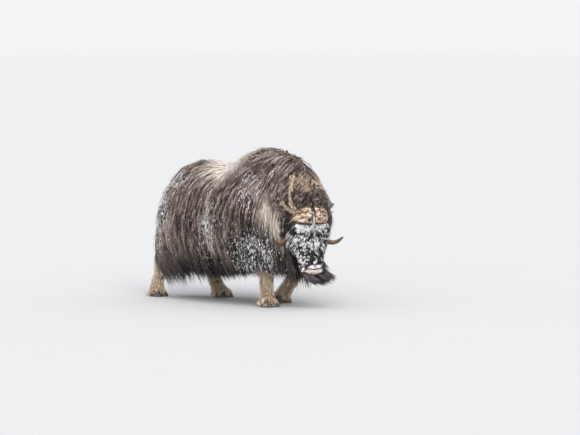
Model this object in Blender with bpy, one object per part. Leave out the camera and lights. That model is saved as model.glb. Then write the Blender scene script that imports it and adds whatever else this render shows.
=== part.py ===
"""Walking bull muskox in its long winter coat, life size, as a still museum model.

The animal faces -Y, its left side is +X and it stands on z = 0. All sizes are in metres.
Places on the body are given as forward, left and up, and places on the head as along (poll to
muzzle), over (towards the forehead) and left, in the head's own turned and lowered frame.
"""

import math
import random

import bmesh
import bpy
from mathutils import Matrix, Vector
from mathutils.bvhtree import BVHTree

# Driving dimensions
HUMP_TOP = 1.365  # core of the coat at the shoulder hump
BACK_TOP = 1.222  # core at the saddle and rump
BELLY = 0.36  # underside of the core
SKIRT_TIP = 0.215  # where the skirt's lowest tips hang
GIRTH_HALF = 0.40  # half width of the core at the ribs
GAP = 0.0003  # clear space between touching nodes
CORE_GAP = 0.0005  # clear space between the core and what its surface cuts

# The head's place and turn
POLL_FORWARD, POLL_LEFT, POLL_UP = 0.954, -0.086, 0.875
HEAD_YAW = math.radians(18)  # to the animal's right
HEAD_PITCH = math.radians(76)  # below the horizon

# The cut that parts the neck from the torso
NECK_CUT_FORWARD, NECK_CUT_UP = 0.66, 0.90
NECK_CUT_LEAN = math.radians(12)

SEED = 13


def at(forward, left, up):
    """A place on the body, as a point in the part's frame."""
    return Vector((left, -forward, up))


FORWARD, LEFT, UP = at(1, 0, 0), at(0, 1, 0), at(0, 0, 1)
WIND = (0.68 * FORWARD + 0.73 * LEFT).normalized()
POLL = at(POLL_FORWARD, POLL_LEFT, POLL_UP)
HEADING = math.cos(HEAD_YAW) * FORWARD - math.sin(HEAD_YAW) * LEFT
ALONG = math.cos(HEAD_PITCH) * HEADING - math.sin(HEAD_PITCH) * UP
OVER = math.sin(HEAD_PITCH) * HEADING + math.cos(HEAD_PITCH) * UP
HEAD_LEFT = UP.cross(HEADING)
NECK_CUT_POINT = at(NECK_CUT_FORWARD, 0, NECK_CUT_UP)
NECK_CUT_NORMAL = math.cos(NECK_CUT_LEAN) * FORWARD + math.sin(NECK_CUT_LEAN) * UP


def on_head(along, over, left):
    """A place on the head, as a point in the part's frame."""
    return POLL + along * ALONG + over * OVER + left * HEAD_LEFT


# Curves and meshes


def step_between(low, high, value):
    """Rises smoothly from 0 at low to 1 at high."""
    u = max(0.0, min(1.0, (value - low) / (high - low)))
    return u * u * (3 - 2 * u)


def curve_value(before, here, there, after, u):
    """A smooth curve's value between here and there."""
    slope = there - before
    bend = 2 * before - 5 * here + 4 * there - after
    twist = 3 * here - before - 3 * there + after
    return 0.5 * (2 * here + slope * u + bend * u**2 + twist * u**3)


def smooth_rows(rows, count):
    """Rows of numbers read again at count even steps of a smooth curve through them."""
    spans = len(rows) - 1
    made = []
    for i in range(count):
        t = spans * i / (count - 1)
        k = min(int(t), spans - 1)
        four = rows[max(k - 1, 0)], rows[k], rows[k + 1], rows[min(k + 2, spans)]
        made.append([curve_value(*values, t - k) for values in zip(*four)])
    return made


def rounded(angle, power):
    """The sine and cosine of an angle on a superellipse."""
    s, c = math.sin(angle), math.cos(angle)
    return math.copysign(abs(s) ** (2 / power), s), math.copysign(abs(c) ** (2 / power), c)


def oval_ring(centre, side, rise, half_width, above, below, sides, upper=2.1, lower=2.1):
    """One closed ring of points, flatter or fuller above and below its centre."""
    ring = []
    for i in range(sides):
        angle = 2 * math.pi * i / sides
        s, c = rounded(angle, upper if math.cos(angle) >= 0 else lower)
        ring.append(centre + side * half_width * s + rise * (above if c >= 0 else below) * c)
    return ring


def mesh_of(points, faces):
    """A mesh whose faces point outwards."""
    mesh = bpy.data.meshes.new("shape")
    mesh.from_pydata([tuple(p) for p in points], [], faces)
    work = bmesh.new()
    work.from_mesh(mesh)
    bmesh.ops.recalc_face_normals(work, faces=work.faces)
    if work.calc_volume(signed=True) < 0:
        bmesh.ops.reverse_faces(work, faces=work.faces)
    work.to_mesh(mesh)
    work.free()
    return mesh


def put(name, mesh):
    made = bpy.data.objects.new(name, mesh)
    bpy.context.scene.collection.objects.link(made)
    return made


def loft(name, rings):
    """A closed tube through rings of equal length."""
    n = len(rings[0])
    points = [p for ring in rings for p in ring]
    faces = [tuple(range(n)), tuple((len(rings) - 1) * n + i for i in range(n))]
    for k in range(len(rings) - 1):
        for i in range(n):
            a, b = k * n + i, k * n + (i + 1) % n
            faces.append((a, b, b + n, a + n))
    return put(name, mesh_of(points, faces))


def ball(name, centre, axes, segments, rings):
    """An ellipsoid with its half axes along three vectors."""
    work = bmesh.new()
    bmesh.ops.create_uvsphere(work, u_segments=segments, v_segments=rings, radius=1)
    shape = Matrix(axes).transposed().to_4x4()
    shape.translation = centre
    bmesh.ops.transform(work, matrix=shape, verts=work.verts)
    points = [v.co.copy() for v in work.verts]
    faces = [[v.index for v in f.verts] for f in work.faces]
    work.free()
    return put(name, mesh_of(points, faces))


def swept(name, path, radii, sides, start_side):
    """A tube along a path, with a radius across it and one through it at each point."""
    rings = []
    across = start_side
    for k, point in enumerate(path):
        tangent = (path[min(k + 1, len(path) - 1)] - path[max(k - 1, 0)]).normalized()
        across = (across - tangent * across.dot(tangent)).normalized()
        thick = tangent.cross(across)
        wide, deep = radii[k]
        rings.append(oval_ring(point, across, thick, wide, deep, deep, sides))
    return loft(name, rings)


def drop(*objects):
    for made in objects:
        bpy.data.objects.remove(made)


def largest_body(mesh):
    """Keeps the largest closed surface, and drops loose scraps and sealed hollows."""
    work = bmesh.new()
    work.from_mesh(mesh)
    bmesh.ops.triangulate(work, faces=work.faces)
    left = set(work.verts)
    groups = []
    while left:
        stack = [left.pop()]
        group = set(stack)
        while stack:
            for edge in stack.pop().link_edges:
                fresh = [v for v in edge.verts if v in left]
                left.difference_update(fresh)
                group.update(fresh)
                stack += fresh
        groups.append(group)
    biggest = max(groups, key=len)
    loose = [v for group in groups if group is not biggest for v in group]
    bmesh.ops.delete(work, geom=loose, context="VERTS")
    work.to_mesh(mesh)
    work.free()


def combined(target, others, operation):
    """Applies one Boolean of a collection of closed meshes to target, then removes them."""
    tools = bpy.data.collections.new("tools")
    bpy.context.scene.collection.children.link(tools)
    for other in others:
        tools.objects.link(other)
    step = target.modifiers.new("join", "BOOLEAN")
    step.operation = operation
    step.operand_type = "COLLECTION"
    step.collection = tools
    step.solver = "MANIFOLD"
    bpy.context.view_layer.update()
    graph = bpy.context.evaluated_depsgraph_get()
    result = bpy.data.meshes.new_from_object(target.evaluated_get(graph))
    target.modifiers.clear()
    target.data = result
    drop(*others)
    bpy.data.collections.remove(tools)
    largest_body(target.data)
    return target


def swollen(source, by=GAP):
    """A copy of an object pushed out a little, to cut a neighbour clear of it."""
    work = bmesh.new()
    work.from_mesh(source.data)
    moves = [v.normal * min(3.0, v.calc_shell_factor()) * by for v in work.verts]
    for vertex, move in zip(work.verts, moves):
        vertex.co += move
    mesh = bpy.data.meshes.new("swollen")
    work.to_mesh(mesh)
    work.free()
    return put(source.name + "_swollen", mesh)


def sliced(source, point, normal, keep_front):
    """Cuts a closed mesh by a plane and caps it, keeping one side."""
    work = bmesh.new()
    work.from_mesh(source.data)
    bmesh.ops.bisect_plane(
        work,
        geom=work.verts[:] + work.edges[:] + work.faces[:],
        plane_co=point,
        plane_no=normal,
        clear_inner=keep_front,
        clear_outer=not keep_front,
    )
    bmesh.ops.holes_fill(work, edges=[e for e in work.edges if e.is_boundary])
    bmesh.ops.recalc_face_normals(work, faces=work.faces)
    work.to_mesh(source.data)
    work.free()
    return source


def surface_of(source):
    return BVHTree.FromObject(source, bpy.context.evaluated_depsgraph_get())


def near_or_in(tree, place, reach):
    """Whether a place lies inside a closed mesh or within reach of it."""
    found, normal, _, distance = tree.find_nearest(place)
    return distance < reach or (place - found).dot(normal) < 0


def half_space(point, normal):
    """A box that fills the space ahead of a plane, as far as the animal reaches."""
    size = 3.0
    work = bmesh.new()
    bmesh.ops.create_cube(work, size=size)
    turn = normal.to_track_quat("Z", "Y").to_matrix().to_4x4()
    turn.translation = point + normal * size / 2
    bmesh.ops.transform(work, matrix=turn, verts=work.verts)
    mesh = bpy.data.meshes.new("half_space")
    work.to_mesh(mesh)
    work.free()
    return put("half_space", mesh)


def material(name, colour, roughness):
    made = bpy.data.materials.new(name)
    made.use_nodes = True
    shader = made.node_tree.nodes["Principled BSDF"]
    shader.inputs["Base Color"].default_value = (*colour, 1)
    shader.inputs["Roughness"].default_value = roughness
    shader.inputs["Metallic"].default_value = 0
    return made


# The body's core: forward, left, turn, top, waist, bottom, half width
BODY_ROWS = [
    (-0.880, 0.0, 0, 0.80, 0.68, 0.56, 0.05),
    (-0.862, 0.0, 0, 0.90, 0.66, 0.46, 0.155),
    (-0.80, 0.0, 0, 1.02, 0.62, 0.40, 0.245),
    (-0.69, 0.0, 0, 1.14, 0.60, BELLY + 0.01, 0.310),
    (-0.50, 0.0, 0, BACK_TOP, 0.59, BELLY, GIRTH_HALF - 0.035),
    (-0.25, 0.0, 0, BACK_TOP, 0.60, BELLY, GIRTH_HALF - 0.005),
    (0.00, 0.0, 0, BACK_TOP, 0.61, BELLY, GIRTH_HALF),
    (0.20, 0.0, 0, BACK_TOP + 0.085, 0.63, BELLY, GIRTH_HALF),
    (0.43, 0.0, 2, HUMP_TOP, 0.66, BELLY, GIRTH_HALF - 0.005),
    (0.60, 0.0, 6, HUMP_TOP - 0.010, 0.68, BELLY + 0.01, 0.375),
    (0.75, -0.03, 13, HUMP_TOP - 0.095, 0.70, 0.40, 0.330),
    (0.87, -0.07, 20, HUMP_TOP - 0.210, 0.72, 0.47, 0.275),
    (0.97, -0.10, 26, HUMP_TOP - 0.325, 0.78, 0.60, 0.215),
    (1.045, -0.115, 28, 0.955, 0.83, 0.74, 0.13),
]
BODY_RINGS = 25
BODY_SIDES = 22


def body_core(name):
    """The core: round over the back and squarer along the belly."""
    rings = []
    for forward, left, turn, top, waist, bottom, half in smooth_rows(BODY_ROWS, BODY_RINGS):
        yaw = math.radians(turn)
        side = math.cos(yaw) * LEFT + math.sin(yaw) * FORWARD
        centre = at(forward, left, waist)
        rings.append(oval_ring(centre, side, UP, half, top - waist, waist - bottom, BODY_SIDES, 2.1, 2.9))
    return loft(name, rings)


# Locks of the coat
LOCK_STEPS = 4
ROOT_SINK = 0.022
ROOT_RISE = 0.05
LEG_CLEAR = 0.012
HEAD_CLEAR = 0.05


def clear_of_legs(place):
    """The place itself, or a place level with it just outside the leg that it is in."""
    for _, rows, _ in STANCE:
        for above, below in zip(rows, rows[1:]):
            if not below[2] <= place.z <= above[2]:
                continue
            u = (above[2] - place.z) / (above[2] - below[2])
            forward, left, _, wide, long = [a + (b - a) * u for a, b in zip(above, below)]
            ahead, aside = -place.y - forward, place.x - left
            reach = math.hypot(ahead / (long + LEG_CLEAR), aside / (wide + LEG_CLEAR))
            if reach < 1:
                place = at(forward + ahead / reach, left + aside / reach, place.z)
    return place


class Coat:
    """Grows flat, tapered locks on a closed core."""

    def __init__(self, core, seed):
        self.tree = surface_of(core)
        self.random = random.Random(seed)
        self.core = core

    def contour(self, height):
        """The closed loops where the core crosses a level."""
        work = bmesh.new()
        work.from_mesh(self.core.data)
        bmesh.ops.bisect_plane(
            work,
            geom=work.verts[:] + work.edges[:] + work.faces[:],
            plane_co=(0, 0, height),
            plane_no=(0, 0, 1),
            clear_inner=True,
            clear_outer=True,
        )
        left = set(work.verts)
        loops = []
        while left:
            vertex = min(left, key=lambda v: tuple(v.co))
            loop = []
            while vertex is not None:
                left.discard(vertex)
                loop.append(vertex.co.copy())
                near = [e.other_vert(vertex) for e in vertex.link_edges]
                vertex = next((v for v in near if v in left), None)
            loops.append(loop)
        work.free()
        return loops

    def spaced(self, loop, pitch, phase):
        """Points an even distance apart round a closed loop."""
        closed = loop + [loop[0]]
        steps = [(b - a).length for a, b in zip(closed, closed[1:])]
        total = sum(steps)
        count = max(3, round(total / pitch))
        found = []
        for i in range(count):
            want = total * ((i + phase) % count) / count
            for step, a, b in zip(steps, closed, closed[1:]):
                if want <= step:
                    found.append(a.lerp(b, want / step))
                    break
                want -= step
        return found

    def trace(self, root, length, flow, lift, sway):
        """Points and outward directions down one lock: along the core, then hanging free."""
        place, outward, _, _ = self.tree.find_nearest(root)
        points, outs = [], []
        free = False
        stride = length / LOCK_STEPS
        for k in range(LOCK_STEPS + 1):
            walked = k * stride
            height = lift * walked - ROOT_SINK * max(0.0, 1 - walked / ROOT_RISE)
            if free:
                place = clear_of_legs(place)
            points.append(place + outward * height)
            outs.append(outward.copy())
            way = flow(place, outward)
            if not free:
                way -= outward * way.dot(outward)
            way = Matrix.Rotation(sway * k / LOCK_STEPS, 3, outward) @ way.normalized()
            place = place + way * stride
            if free:
                continue
            found, normal, _, _ = self.tree.find_nearest(place)
            if normal.z < -0.3:
                free = True
                outward = Vector((outward.x, outward.y, 0)).normalized()
            else:
                place, outward = found, normal
        return points, outs

    def lock(self, root, length, width, thick, flow, lift=0.13, keep=None):
        """One lock as a closed wedge with a flat underside, a low ridge and a fine tip."""
        draw = self.random.uniform
        length *= draw(0.9, 1.1)
        width *= draw(0.9, 1.1)
        points, outs = self.trace(root, length, flow, lift * draw(0.94, 1.06), draw(-0.3, 0.3))
        if keep is not None:
            points = keep(points, width)
        rings = []
        for k, (point, out) in enumerate(zip(points, outs)):
            tangent = (points[min(k + 1, LOCK_STEPS)] - points[max(k - 1, 0)]).normalized()
            side = tangent.cross(out).normalized()
            out = side.cross(tangent).normalized()
            share = k / LOCK_STEPS
            half = 0.5 * width * min(1.0, 0.75 + 1.2 * share) * (1 - share**2.2)
            deep = thick * (1 - 0.8 * share)
            rings.append((point - side * half, point + out * deep, point + side * half))
        corners = [p for ring in rings[:-1] for p in ring] + [points[-1]]
        faces = [(0, 1, 2)]
        last = 3 * (LOCK_STEPS - 1)
        for k in range(LOCK_STEPS - 1):
            for i in range(3):
                a, b = 3 * k + i, 3 * k + (i + 1) % 3
                faces += [(a, b, b + 3), (a, b + 3, a + 3)]
        faces += [(last + i, last + (i + 1) % 3, last + 3) for i in range(3)]
        return put("lock", mesh_of(corners, faces))


MEDIAL = [at(-0.50, 0, 0), at(0.45, 0, 0), at(0.75, -0.03, 0), at(0.92, -0.08, 0)]


def away_from_spine(place):
    """The level direction from the body's middle line to a place."""
    flat = Vector((place.x, place.y, 0))
    best = None
    for a, b in zip(MEDIAL, MEDIAL[1:]):
        u = max(0.0, min(1.0, (flat - a).dot(b - a) / (b - a).length_squared))
        near = a.lerp(b, u)
        if best is None or (flat - near).length < (flat - best).length:
            best = near
    way = flat - best
    return way.normalized() if way.length > 1e-6 else LEFT.copy()


def body_flow(place, outward):
    """The lie of the body's coat: off the spine and down, back over the hump and forward in the skirt."""
    forward, left = -place.y, place.x
    hump = step_between(0.85, 1.15, place.z) * step_between(0.0, 0.35, forward)
    blown = 1 - step_between(0.40, 0.85, place.z)
    sheltered = step_between(0.30, 0.60, forward) * step_between(-0.1, 0.1, left)
    drift = 0.62 * blown * (1 - 1.2 * sheltered) - 0.45 * hump
    return -UP + 0.7 * max(0.0, outward.z) * away_from_spine(place) + drift * FORWARD


def keep_side(sign):
    """Bends a lock's points so that the whole lock stays on one side of the neck cut."""

    def bent(points, width):
        made = []
        for point in points:
            over = sign * (point - NECK_CUT_POINT).dot(NECK_CUT_NORMAL)
            short = 0.56 * width + 0.002 - over
            made.append(point + sign * FORWARD * max(0.0, short))
        return made

    return bent


# Tiers of the coat: level and length of lock
TIERS = [(0.43, 0.26), (0.55, 0.38), (0.70, 0.40), (0.87, 0.36), (1.04, 0.31), (1.185, 0.27)]
LOCK_PITCH = 0.156
LOCK_WIDTH = 0.146
LOCK_THICK = 0.018
CREST_LENGTH, CREST_WIDTH, CREST_PITCH = 0.24, 0.11, 0.068
SLANT = 1.15  # how much longer a slanted lock is than its drop


def skirt_tip(forward):
    """How high the skirt's tips hang: lowest at the rump and chest, higher behind the forelegs."""
    return SKIRT_TIP + 0.085 * math.exp(-(((forward - 0.42) / 0.33) ** 2))


def coat_roots(coat):
    """Root, length and width of every lock of the torso and neck, in staggered tiers."""
    made = []
    for k, (level, length) in enumerate(TIERS):
        for loop in coat.contour(level):
            for root in coat.spaced(loop, LOCK_PITCH, 0.5 * (k % 2)):
                drop_left = level - skirt_tip(-root.y)
                made.append((root, min(length, SLANT * drop_left), LOCK_WIDTH))
    forward = BODY_ROWS[2][0]
    side = 1
    while forward < POLL_FORWARD + 0.03:
        middle = -0.2 * max(0.0, forward - 0.50)
        found, _, _, _ = coat.tree.ray_cast(at(forward, 0.03 * side + middle, 2), -UP)
        made.append((found, CREST_LENGTH, CREST_WIDTH))
        forward += CREST_PITCH
        side = -side
    return made


def body_and_neck(torso, head_cutters, limbs):
    """The torso and the neck, parted by one leaning cut, each with its locks, clear of head and limbs."""
    coat = Coat(torso, SEED)
    head_surfaces = [surface_of(o) for o in head_cutters]
    locks = {"torso": [], "neck": []}
    for root, length, width in coat_roots(coat):
        in_head = any(near_or_in(tree, root, HEAD_CLEAR) for tree in head_surfaces)
        if in_head or (root - TAIL_ROOT).length < 0.06:
            continue
        ahead = (root - NECK_CUT_POINT).dot(NECK_CUT_NORMAL) > 0
        keep = keep_side(1 if ahead else -1)
        grown = coat.lock(root, length, width, LOCK_THICK, body_flow, keep=keep)
        locks["neck" if ahead else "torso"].append(grown)
    neck = put("neck", torso.data.copy())
    step = NECK_CUT_NORMAL * GAP / 2
    combined(torso, locks["torso"], "UNION")
    combined(neck, locks["neck"], "UNION")
    ahead_of_torso = half_space(NECK_CUT_POINT - step, NECK_CUT_NORMAL)
    combined(torso, [ahead_of_torso] + [swollen(o) for o in limbs], "DIFFERENCE")
    behind_neck = half_space(NECK_CUT_POINT + step, -NECK_CUT_NORMAL)
    combined(neck, [behind_neck] + [swollen(o) for o in head_cutters + limbs], "DIFFERENCE")
    return torso, neck


# The head: along, top, middle, bottom, half width
HEAD_ROWS = [
    (-0.10, 0.03, -0.03, -0.10, 0.07),
    (-0.05, 0.08, -0.03, -0.15, 0.135),
    (0.03, 0.108, -0.03, -0.175, 0.166),
    (0.12, 0.116, -0.03, -0.185, 0.180),
    (0.22, 0.112, -0.02, -0.170, 0.178),
    (0.31, 0.101, -0.01, -0.135, 0.154),
    (0.40, 0.090, 0.0, -0.100, 0.128),
    (0.47, 0.086, 0.0, -0.070, 0.116),
    (0.53, 0.079, 0.0, -0.050, 0.113),
    (0.572, 0.057, 0.005, -0.035, 0.095),
    (0.588, 0.032, 0.005, -0.015, 0.054),
]
HEAD_RINGS, HEAD_SIDES = 15, 18
JAW_ROWS = [
    (0.10, -0.06, -0.10, -0.140, 0.080),
    (0.25, -0.06, -0.11, -0.166, 0.100),
    (0.38, -0.03, -0.08, -0.130, 0.092),
    (0.48, -0.012, -0.055, -0.105, 0.084),
    (0.55, -0.004, -0.042, -0.085, 0.076),
    (0.586, -0.004, -0.030, -0.062, 0.060),
    (0.600, -0.012, -0.028, -0.046, 0.031),
]
JAW_RINGS, JAW_SIDES = 9, 14
EYE_PLACE = (0.212, 0.034, 0.158)
EYE_RADIUS = 0.021
SOCKET_CLEAR = GAP + 0.0006
LID_HALF = (0.0075, 0.0055)  # a lid's half width and half thickness
LID_REACH = 1.3  # angle from the middle of a lid to its corner
LID_OPEN = 0.95  # angle from the middle of the eye to the middle of a lid

# The mouth's middle, how far its corners lie above that, and its half width
MOUTH_ALONG, MOUTH_RISE, MOUTH_HALF = 0.562, 0.055, 0.086
GROOVE_HALF = (0.004, 0.014)
NOSTRIL_PLACE = (0.497, 0.082, 0.044)
NOSTRIL_HALF = (0.018, 0.009, 0.021)  # depth, width and length

EAR_PLACE = (0.020, -0.010, 0.172)
EAR_REACH = 0.062  # from the ear's root to its middle
EAR_HALF = (0.084, 0.036, 0.020)
CUP_REACH = 0.075
CUP_HALF = (0.058, 0.023, 0.018)

# Beard: along, length
CHIN_HAIR = [(0.37, 0.22), (0.45, 0.25), (0.53, 0.22)]
CHIN_LOCK_WIDTH, CHIN_LOCK_THICK, CHIN_PITCH = 0.056, 0.012, 0.046


def head_loft(name, rows, count, sides):
    rings = []
    for along, top, middle, bottom, half in smooth_rows(rows, count):
        centre = on_head(along, middle, 0)
        rings.append(oval_ring(centre, HEAD_LEFT, OVER, half, top - middle, middle - bottom, sides, 2.3, 2.2))
    return loft(name, rings)


def eye_ball(name, side, grow=0.0):
    along, over, left = EYE_PLACE
    r = EYE_RADIUS + grow
    return ball(name, on_head(along, over, side * left), (HEAD_LEFT * r, ALONG * r, OVER * r), 10, 7)


def lid(side, upper):
    """One eyelid: a short roll that hugs the eye from corner to corner."""
    along, over, left = EYE_PLACE
    centre = on_head(along, over, side * left)
    outward = (side * HEAD_LEFT * 0.92 + OVER * 0.38).normalized()
    rise = outward.cross(ALONG)
    if rise.dot(OVER) * (1 if upper else -1) < 0:
        rise = -rise
    path, radii = [], []
    count = 6
    for i in range(count + 1):
        across = (2 * i / count - 1) * LID_REACH
        lean = LID_OPEN * math.cos(across * 0.9)
        way = outward * math.cos(lean) * math.cos(across) + ALONG * math.sin(across) + rise * math.sin(lean)
        path.append(centre + way.normalized() * (EYE_RADIUS + 0.002))
        taper = 0.45 + 0.55 * math.sin(math.pi * i / count)
        radii.append([half * taper for half in LID_HALF])
    return swept("lid", path, radii, 5, outward)


def mouth_groove(surface):
    """A thin curved wedge that cuts the line of the mouth round the front of the muzzle."""
    path = []
    count = 10
    for i in range(count + 1):
        u = 2 * i / count - 1
        left = MOUTH_HALF * math.sin(u * math.pi / 2)
        guess = on_head(MOUTH_ALONG - MOUTH_RISE * abs(u) ** 1.6, 0.10 - 0.09 * u * u, left)
        path.append(surface.find_nearest(guess)[0])
    return swept("groove", path, [GROOVE_HALF] * len(path), 6, ALONG)


def nostril(side):
    """A slanted oval pit beside the end of the nose."""
    out = (OVER * 0.85 + HEAD_LEFT * side * 0.32 + ALONG * 0.40).normalized()
    long = ALONG * 0.62 - HEAD_LEFT * side * 0.78
    long = (long - out * long.dot(out)).normalized()
    along, over, left = NOSTRIL_PLACE
    deep, wide, tall = NOSTRIL_HALF
    axes = out * deep, out.cross(long) * wide, long * tall
    return ball("nostril", on_head(along, over, side * left), axes, 8, 6)


def chin_flow(place, outward):
    """The beard's lie: down, and blown to the animal's left and forward."""
    return -0.55 * UP + 0.80 * WIND


def beard(coat):
    """Locks under the chin and jaw, blown to one side."""
    locks = []
    for row, (along, length) in enumerate(CHIN_HAIR):
        for i in range(3):
            root = on_head(along, -0.20, (i - 1 + 0.25 * (-1) ** row) * CHIN_PITCH)
            locks.append(coat.lock(root, length, CHIN_LOCK_WIDTH, CHIN_LOCK_THICK, chin_flow, lift=0.10))
    return locks


def head_node():
    """The head with its lids and beard, and the mouth, nostrils and eye sockets cut in."""
    head = head_loft("head", HEAD_ROWS, HEAD_RINGS, HEAD_SIDES)
    jaw = head_loft("jaw", JAW_ROWS, JAW_RINGS, JAW_SIDES)
    cutters = [mouth_groove(surface_of(head)), nostril(1), nostril(-1)]
    cutters += [eye_ball("socket", side, SOCKET_CLEAR) for side in (1, -1)]
    combined(head, [jaw] + [lid(side, upper) for side in (1, -1) for upper in (True, False)], "UNION")
    combined(head, beard(Coat(head, SEED + 1)), "UNION")
    return combined(head, cutters, "DIFFERENCE")


# Horns: along, over, left, half width across, half thickness
HORN_ROWS = [
    (0.085, 0.126, 0.007, 0.083, 0.032),
    (0.086, 0.128, 0.055, 0.083, 0.038),
    (0.090, 0.112, 0.101, 0.073, 0.040),
    (0.108, 0.058, 0.143, 0.055, 0.037),
    (0.158, -0.020, 0.171, 0.041, 0.033),
    (0.222, -0.066, 0.184, 0.034, 0.029),
    (0.272, -0.078, 0.203, 0.028, 0.025),
    (0.298, -0.062, 0.252, 0.021, 0.019),
    (0.292, -0.036, 0.299, 0.014, 0.013),
    (0.263, -0.006, 0.338, 0.004, 0.004),
]
HORN_RINGS, HORN_SIDES = 16, 10


def horn(name, side, head):
    rows = smooth_rows(HORN_ROWS, HORN_RINGS)
    path = [on_head(row[0], row[1], side * row[2]) for row in rows]
    made = swept(name, path, [(row[3], row[4]) for row in rows], HORN_SIDES, ALONG)
    return combined(made, [swollen(head)], "DIFFERENCE")


def ear(name, side, head, horn_beside):
    """A short leaf-shaped ear with a cup cut in its front."""
    out = (HEAD_LEFT * side * 0.88 - OVER * 0.10 - ALONG * 0.42).normalized()
    front = (OVER - out * OVER.dot(out)).normalized()
    axes = out, out.cross(front), front
    along, over, left = EAR_PLACE
    root = on_head(along, over, side * left)
    leaf_axes = [axis * half for axis, half in zip(axes, EAR_HALF)]
    cup_axes = [axis * half for axis, half in zip(axes, CUP_HALF)]
    made = ball(name, root + out * EAR_REACH, leaf_axes, 10, 8)
    cup = ball("cup", root + out * CUP_REACH + front * CUP_HALF[2], cup_axes, 8, 6)
    combined(made, [cup], "DIFFERENCE")
    return combined(made, [swollen(head), swollen(horn_beside)], "DIFFERENCE")


# Legs and hooves: forward, left, up, half width, half length at each height
FRONT_RIGHT = [
    (0.54, -0.20, 0.47, 0.078, 0.100),
    (0.560, -0.20, 0.36, 0.070, 0.082),
    (0.575, -0.20, 0.28, 0.062, 0.070),
    (0.580, -0.20, 0.20, 0.052, 0.058),
    (0.583, -0.20, 0.12, 0.055, 0.060),
    (0.600, -0.20, 0.030, 0.060, 0.070),
]
FRONT_LEFT = [
    (0.53, 0.18, 0.47, 0.078, 0.098),
    (0.555, 0.18, 0.36, 0.070, 0.080),
    (0.555, 0.175, 0.28, 0.062, 0.070),
    (0.495, 0.172, 0.20, 0.052, 0.058),
    (0.420, 0.17, 0.12, 0.055, 0.060),
    (0.360, 0.17, 0.030, 0.058, 0.064),
]
HIND_RIGHT = [
    (-0.70, -0.20, 0.47, 0.084, 0.135),
    (-0.790, -0.20, 0.38, 0.068, 0.100),
    (-0.850, -0.20, 0.30, 0.056, 0.072),
    (-0.885, -0.20, 0.20, 0.050, 0.056),
    (-0.910, -0.20, 0.12, 0.055, 0.062),
    (-0.885, -0.20, 0.030, 0.060, 0.070),
]
HIND_LEFT = [
    (-0.53, 0.18, 0.47, 0.084, 0.130),
    (-0.585, 0.18, 0.38, 0.068, 0.100),
    (-0.585, 0.18, 0.31, 0.056, 0.074),
    (-0.535, 0.18, 0.21, 0.050, 0.060),
    (-0.490, 0.18, 0.125, 0.055, 0.062),
    (-0.425, 0.18, 0.030, 0.060, 0.070),
]
STANCE = [
    ("front_right", FRONT_RIGHT, 0.0),
    ("front_left", FRONT_LEFT, math.radians(14)),
    ("hind_right", HIND_RIGHT, 0.0),
    ("hind_left", HIND_LEFT, 0.0),
]
LEG_SIDES, LEG_RINGS = 12, 9
HOOF_TOP = 0.050
HOOF_LEAN = math.radians(12)

# One claw of a hoof: up, ahead, half width, half length
CLAW_ROWS = [
    (0.066, 0.000, 0.030, 0.048),
    (0.040, 0.010, 0.036, 0.066),
    (0.015, 0.017, 0.039, 0.077),
    (-0.012, 0.020, 0.040, 0.080),
]
CLAW_APART = 0.037
CORONET_HALF = (0.052, 0.050, 0.054)  # half width, length ahead and length behind
CORONET_SPAN = (0.030, 0.078)  # its lowest and highest level
TOE_AHEAD = 0.075


def hoof_cut(rows, heel_lift):
    """The plane between a leg and its hoof, leaning with the foot."""
    forward, left = rows[-1][0], rows[-1][1]
    lean = HOOF_LEAN + heel_lift
    return at(forward, left, HOOF_TOP + 0.009 * heel_lift), UP * math.cos(lean) - FORWARD * math.sin(lean)


def leg(name, rows, torso, heel_lift):
    """A leg from the core's surface down to its hoof."""
    rings = []
    for forward, left, up, wide, long in smooth_rows(rows, LEG_RINGS):
        rings.append(oval_ring(at(forward, left, up), LEFT, FORWARD, wide, long, long, LEG_SIDES))
    made = loft(name, rings)
    point, normal = hoof_cut(rows, heel_lift)
    sliced(made, point + normal * GAP / 2, normal, True)
    return combined(made, [swollen(torso, CORE_GAP)], "DIFFERENCE")


def hoof(name, rows, heel_lift):
    """A broad cloven hoof: two rounded claws joined at the coronet, on a small flat."""
    forward, left = rows[-1][0], rows[-1][1]
    claws = []
    for side in (1, -1):
        rings = []
        for up, ahead, wide, long in CLAW_ROWS:
            centre = at(forward + ahead, left + side * CLAW_APART, up)
            rings.append(oval_ring(centre, LEFT, FORWARD, wide, long, long * 0.8, 10, 2.3, 2.3))
        claws.append(loft("claw", rings))
    wide, ahead, behind = CORONET_HALF
    rings = [oval_ring(at(forward, left, up), LEFT, FORWARD, wide, ahead, behind, 12) for up in CORONET_SPAN]
    made = combined(loft(name, rings), claws, "UNION")
    toe = at(forward + TOE_AHEAD, left, 0)
    turn = Matrix.Translation(toe) @ Matrix.Rotation(heel_lift, 4, LEFT) @ Matrix.Translation(-toe)
    made.data.transform(turn)
    point, normal = hoof_cut(rows, heel_lift)
    sliced(made, point - normal * GAP / 2, normal, False)
    return sliced(made, Vector((0, 0, 0)), UP, True)


# The short tail, which lies under the rump's coat
TAIL_ROOT = at(-0.87, 0, 0.86)
TAIL_PATH = [(-0.80, 0.90), (-0.875, 0.87), (-0.902, 0.82), (-0.908, 0.76), (-0.900, 0.70)]
TAIL_RADII = [(0.032, 0.024), (0.034, 0.022), (0.038, 0.020), (0.032, 0.016), (0.006, 0.006)]


def tail(torso):
    path = [at(forward, 0, up) for forward, up in TAIL_PATH]
    return combined(swept("tail", path, TAIL_RADII, 8, LEFT), [swollen(torso, CORE_GAP)], "DIFFERENCE")


def finish(made, look):
    made.data.materials.clear()
    made.data.materials.append(look)
    made.data.shade_smooth()
    made.data.set_sharp_from_angle(angle=math.radians(40))


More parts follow.
